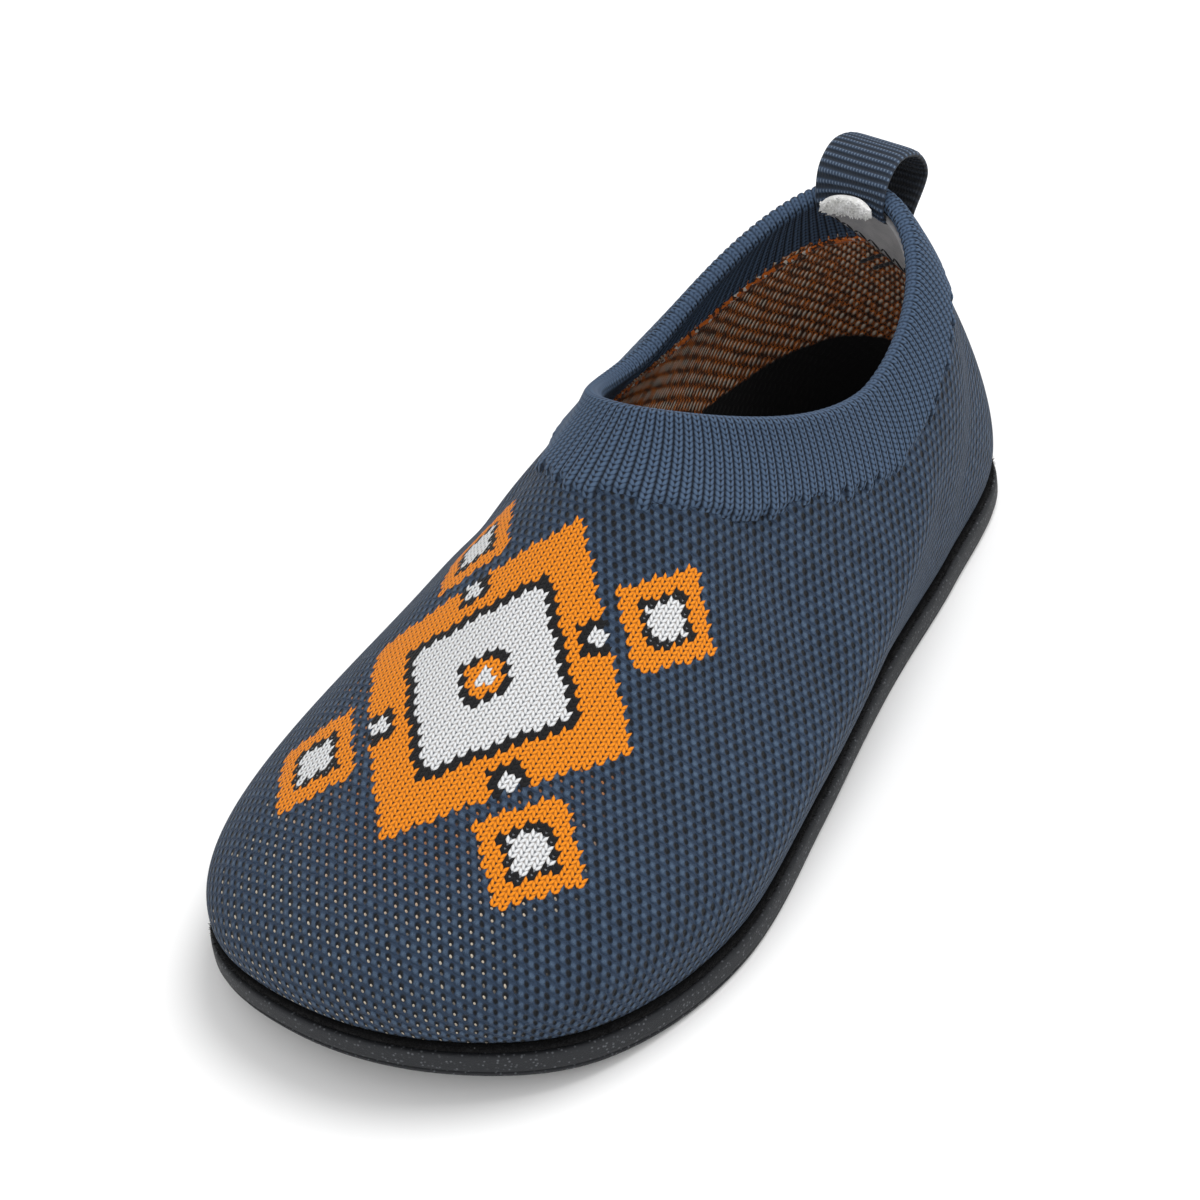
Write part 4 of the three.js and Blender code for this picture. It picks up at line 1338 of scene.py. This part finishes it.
def centripetal(points, u):
    """Open smooth curve through points, at shares u of its spans"""
    ends = [2 * points[0] - points[1]], [2 * points[-1] - points[-2]]
    padded = np.concatenate([ends[0], points, ends[1]])
    at = np.clip(u, 0, 1) * (len(points) - 1)
    k = np.minimum(np.floor(at).astype(int), len(points) - 2)
    w = (at - k)[:, None]
    a, b, c, d = (padded[k + step] for step in range(4))
    ab, bc, cd = (np.linalg.norm(q - p, axis=1, keepdims=True) ** 0.5 for p, q in ((a, b), (b, c), (c, d)))
    start = ((b - a) / ab - (c - a) / (ab + bc) + (c - b) / bc) * bc
    end = ((c - b) / bc - (d - b) / (bc + cd) + (d - c) / cd) * bc
    return b + w * (start + w * (3 * (c - b) - 2 * start - end + w * (2 * (b - c) + start + end)))


def loop_strand(sideways):
    """Middle line of one strand of the webbing, from inside the collar over to its back"""
    half = LOOP_THICKNESS / 2
    inner = LINING_FACE + LOOP_EASE + half
    outer = RIB_STEP + CLEARANCE + half
    lip = lip_middle(0)
    front = LIP_ROLL + CLEARANCE + LOOP_EASE + half

    def over(forward, up):
        return np.array([lip[0] + forward, COLLAR_SIDESTEP + sideways, lip[2] + up])

    return np.array([
        heel_spot(sideways, LOOP_TUCK, inner),
        heel_spot(sideways, LOOP_TUCK / 4, inner),
        lip_middle(sideways) + [front, 0, 0],
        over(front - 0.1 * LOOP_RISE, 0.6 * LOOP_RISE),
        over(-0.25 * LOOP_BULGE, LOOP_RISE - half),
        over(-0.8 * LOOP_BULGE, 0.55 * LOOP_RISE),
        over(-LOOP_BULGE, -0.2 * LOOP_RISE),
        heel_spot(sideways, LOOP_SEWN_FROM, -outer),
        heel_spot(sideways, RIB_BAND_BACK + CLEARANCE, -outer),
        heel_spot(sideways, LOOP_SEWN_TO, -outer + RIB_STEP),
    ])


def pull_loop(material, thread):
    """Cross-ribbed webbing folded over the back of the collar"""
    rows, strand_count, section = 360, 9, 40
    u = np.linspace(0, 1, rows)
    side_at = np.linspace(-0.5, 0.5, strand_count)
    strands = np.stack([centripetal(loop_strand(side * LOOP_WIDTH), u) for side in side_at], 1)
    along = unit(np.gradient(strands, axis=0))
    across = unit(np.gradient(strands, axis=1))
    normal = unit(np.cross(across, along))
    steps = np.linalg.norm(np.diff(strands[:, strand_count // 2], axis=0), axis=-1)
    length = np.concatenate([[0], np.cumsum(steps)])
    turn = 2 * np.pi * np.arange(section) / section
    c, d = np.cos(turn), np.sin(turn)
    side = np.sign(c) * np.abs(c) ** 0.3 / 2
    thick = np.sign(d) * np.abs(d) ** 0.75 / 2
    at = (side + 0.5) * (strand_count - 1)
    k = np.minimum(at.astype(int), strand_count - 2)
    w = (at - k)[:, None]
    middle = mix(strands[:, k], strands[:, k + 1], w)
    away = unit(mix(normal[:, k], normal[:, k + 1], w))
    rib = np.cos(2 * np.pi * length / LOOP_RIB_PITCH)[:, None]
    edge = smooth((0.5 - np.abs(side)) / 0.06)
    swell = LOOP_THICKNESS + LOOP_RIB_RELIEF * rib * edge
    ends = smooth(np.minimum(length, length[-1] - length) / 0.5)[:, None]
    points = middle + (thick * swell * mix(0.25, 1.0, ends))[..., None] * away
    faces = grid_faces(rows, section)
    first, last = np.arange(section // 2 - 1), (rows - 1) * section
    top = np.stack([first, first + 1, section - 2 - first, section - 1 - first], -1)
    faces = np.concatenate([faces, top, top[:, ::-1] + last])
    wide = side * LOOP_WIDTH + np.where(d < -0.01, 100.0, 0.0)
    wide = np.concatenate([wide, wide[:1]]) + 0 * length[:, None]
    uv = grid_corners(wide, length[:, None] + 0 * wide)
    uv = np.concatenate([uv, np.zeros((2 * len(top), 4, 2))])
    piece = dress(make_mesh("webbing_loop", points, faces, material, uv), "navy_webbing", "pull_loop")
    starts, stops = [], []
    middle_line = strands + 0.56 * LOOP_THICKNESS * normal
    for down in (1.3, 3.6):
        row = int(np.searchsorted(length, length[-1] - down))
        marks = np.linspace(0.5, strand_count - 1.5, 2 * LOOP_STITCHES)
        k = marks.astype(int)
        spots = mix(middle_line[row, k], middle_line[row, k + 1], (marks % 1)[:, None])
        starts.extend(spots[::2])
        stops.extend(spots[1::2])
    tacks = threads("loop_stitches", starts, stops, 0.17, thread)
    dress(tacks, "navy_webbing")
    return piece


def repaint(node, material):
    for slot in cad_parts[node].material_slots:
        slot.material = material


def build():
    make_groups()
    thread = black_thread()
    felt = felt_black()
    terry = white_terry()
    knit_body(navy_knit())
    ribbed_collar(ribbed_knit())
    lining(lining_mesh())
    raw_lining_edge(raw_edge())
    outsole(sole_rubber())
    felt_board(felt)
    felt_hairs(felt)
    repaint("insole", insole_cloth())
    heel_patch(grey_suede())
    patch_stitches(thread)
    lining_darts(thread)
    terry_pad(terry)
    terry_loops(terry)
    pull_loop(navy_webbing(), thread)


def stage():
    floor = bpy.data.meshes.new("floor")
    size = 4.0
    corners = [(-size, -size, 0), (size, -size, 0), (size, size, 0), (-size, size, 0)]
    floor.from_pydata(corners, [], [(0, 1, 2, 3)])
    piece = bpy.data.objects.new("floor", floor)
    bpy.context.scene.collection.objects.link(piece)
    material = bpy.data.materials.new("White studio floor")
    material.use_nodes = True
    shader = material.node_tree.nodes["Principled BSDF"]
    shader.inputs["Base Color"].default_value = (0.9, 0.9, 0.9, 1)
    shader.inputs["Roughness"].default_value = 0.9
    floor.materials.append(material)


def area_light(name, place, aim, size, power):
    light = bpy.data.lights.new(name, "AREA")
    light.shape = "DISK"
    light.size = size
    light.energy = power
    lamp = bpy.data.objects.new(name, light)
    lamp.location = place
    lamp.rotation_euler = (Vector(aim) - Vector(place)).to_track_quat("-Z", "Y").to_euler()
    bpy.context.scene.collection.objects.link(lamp)


def light():
    world = bpy.data.worlds.new("studio")
    world.use_nodes = True
    world.node_tree.nodes["Background"].inputs["Color"].default_value = (1, 1, 1, 1)
    world.node_tree.nodes["Background"].inputs["Strength"].default_value = 0.75
    bpy.context.scene.world = world
    bpy.context.scene.view_settings.view_transform = "Standard"
    area_light("key", (-0.5, 0.2, 1.2), (0, 0, 0), 0.8, 11)
    area_light("fill", (0.9, 0.6, 0.7), (0, 0, 0.02), 1.0, 4)


def camera():
    made = bpy.data.cameras.new("camera")
    made.lens = CAMERA_LENS
    made.sensor_width = SENSOR
    azimuth, elevation = math.radians(CAMERA_AZIMUTH), math.radians(CAMERA_ELEVATION)
    level = math.cos(elevation)
    away = Vector((level * math.cos(azimuth), level * math.sin(azimuth), math.sin(elevation)))
    piece = bpy.data.objects.new("camera", made)
    aim = Vector(CAMERA_AIM) * MM
    turn = (-away).to_track_quat("-Z", "Y").to_matrix().to_4x4()
    roll = Matrix.Rotation(math.radians(CAMERA_ROLL), 4, "Z")
    piece.matrix_world = Matrix.Translation(aim + away * CAMERA_DISTANCE * MM) @ turn @ roll
    bpy.context.scene.collection.objects.link(piece)
    bpy.context.scene.camera = piece


camera()
stage()
light()
build()
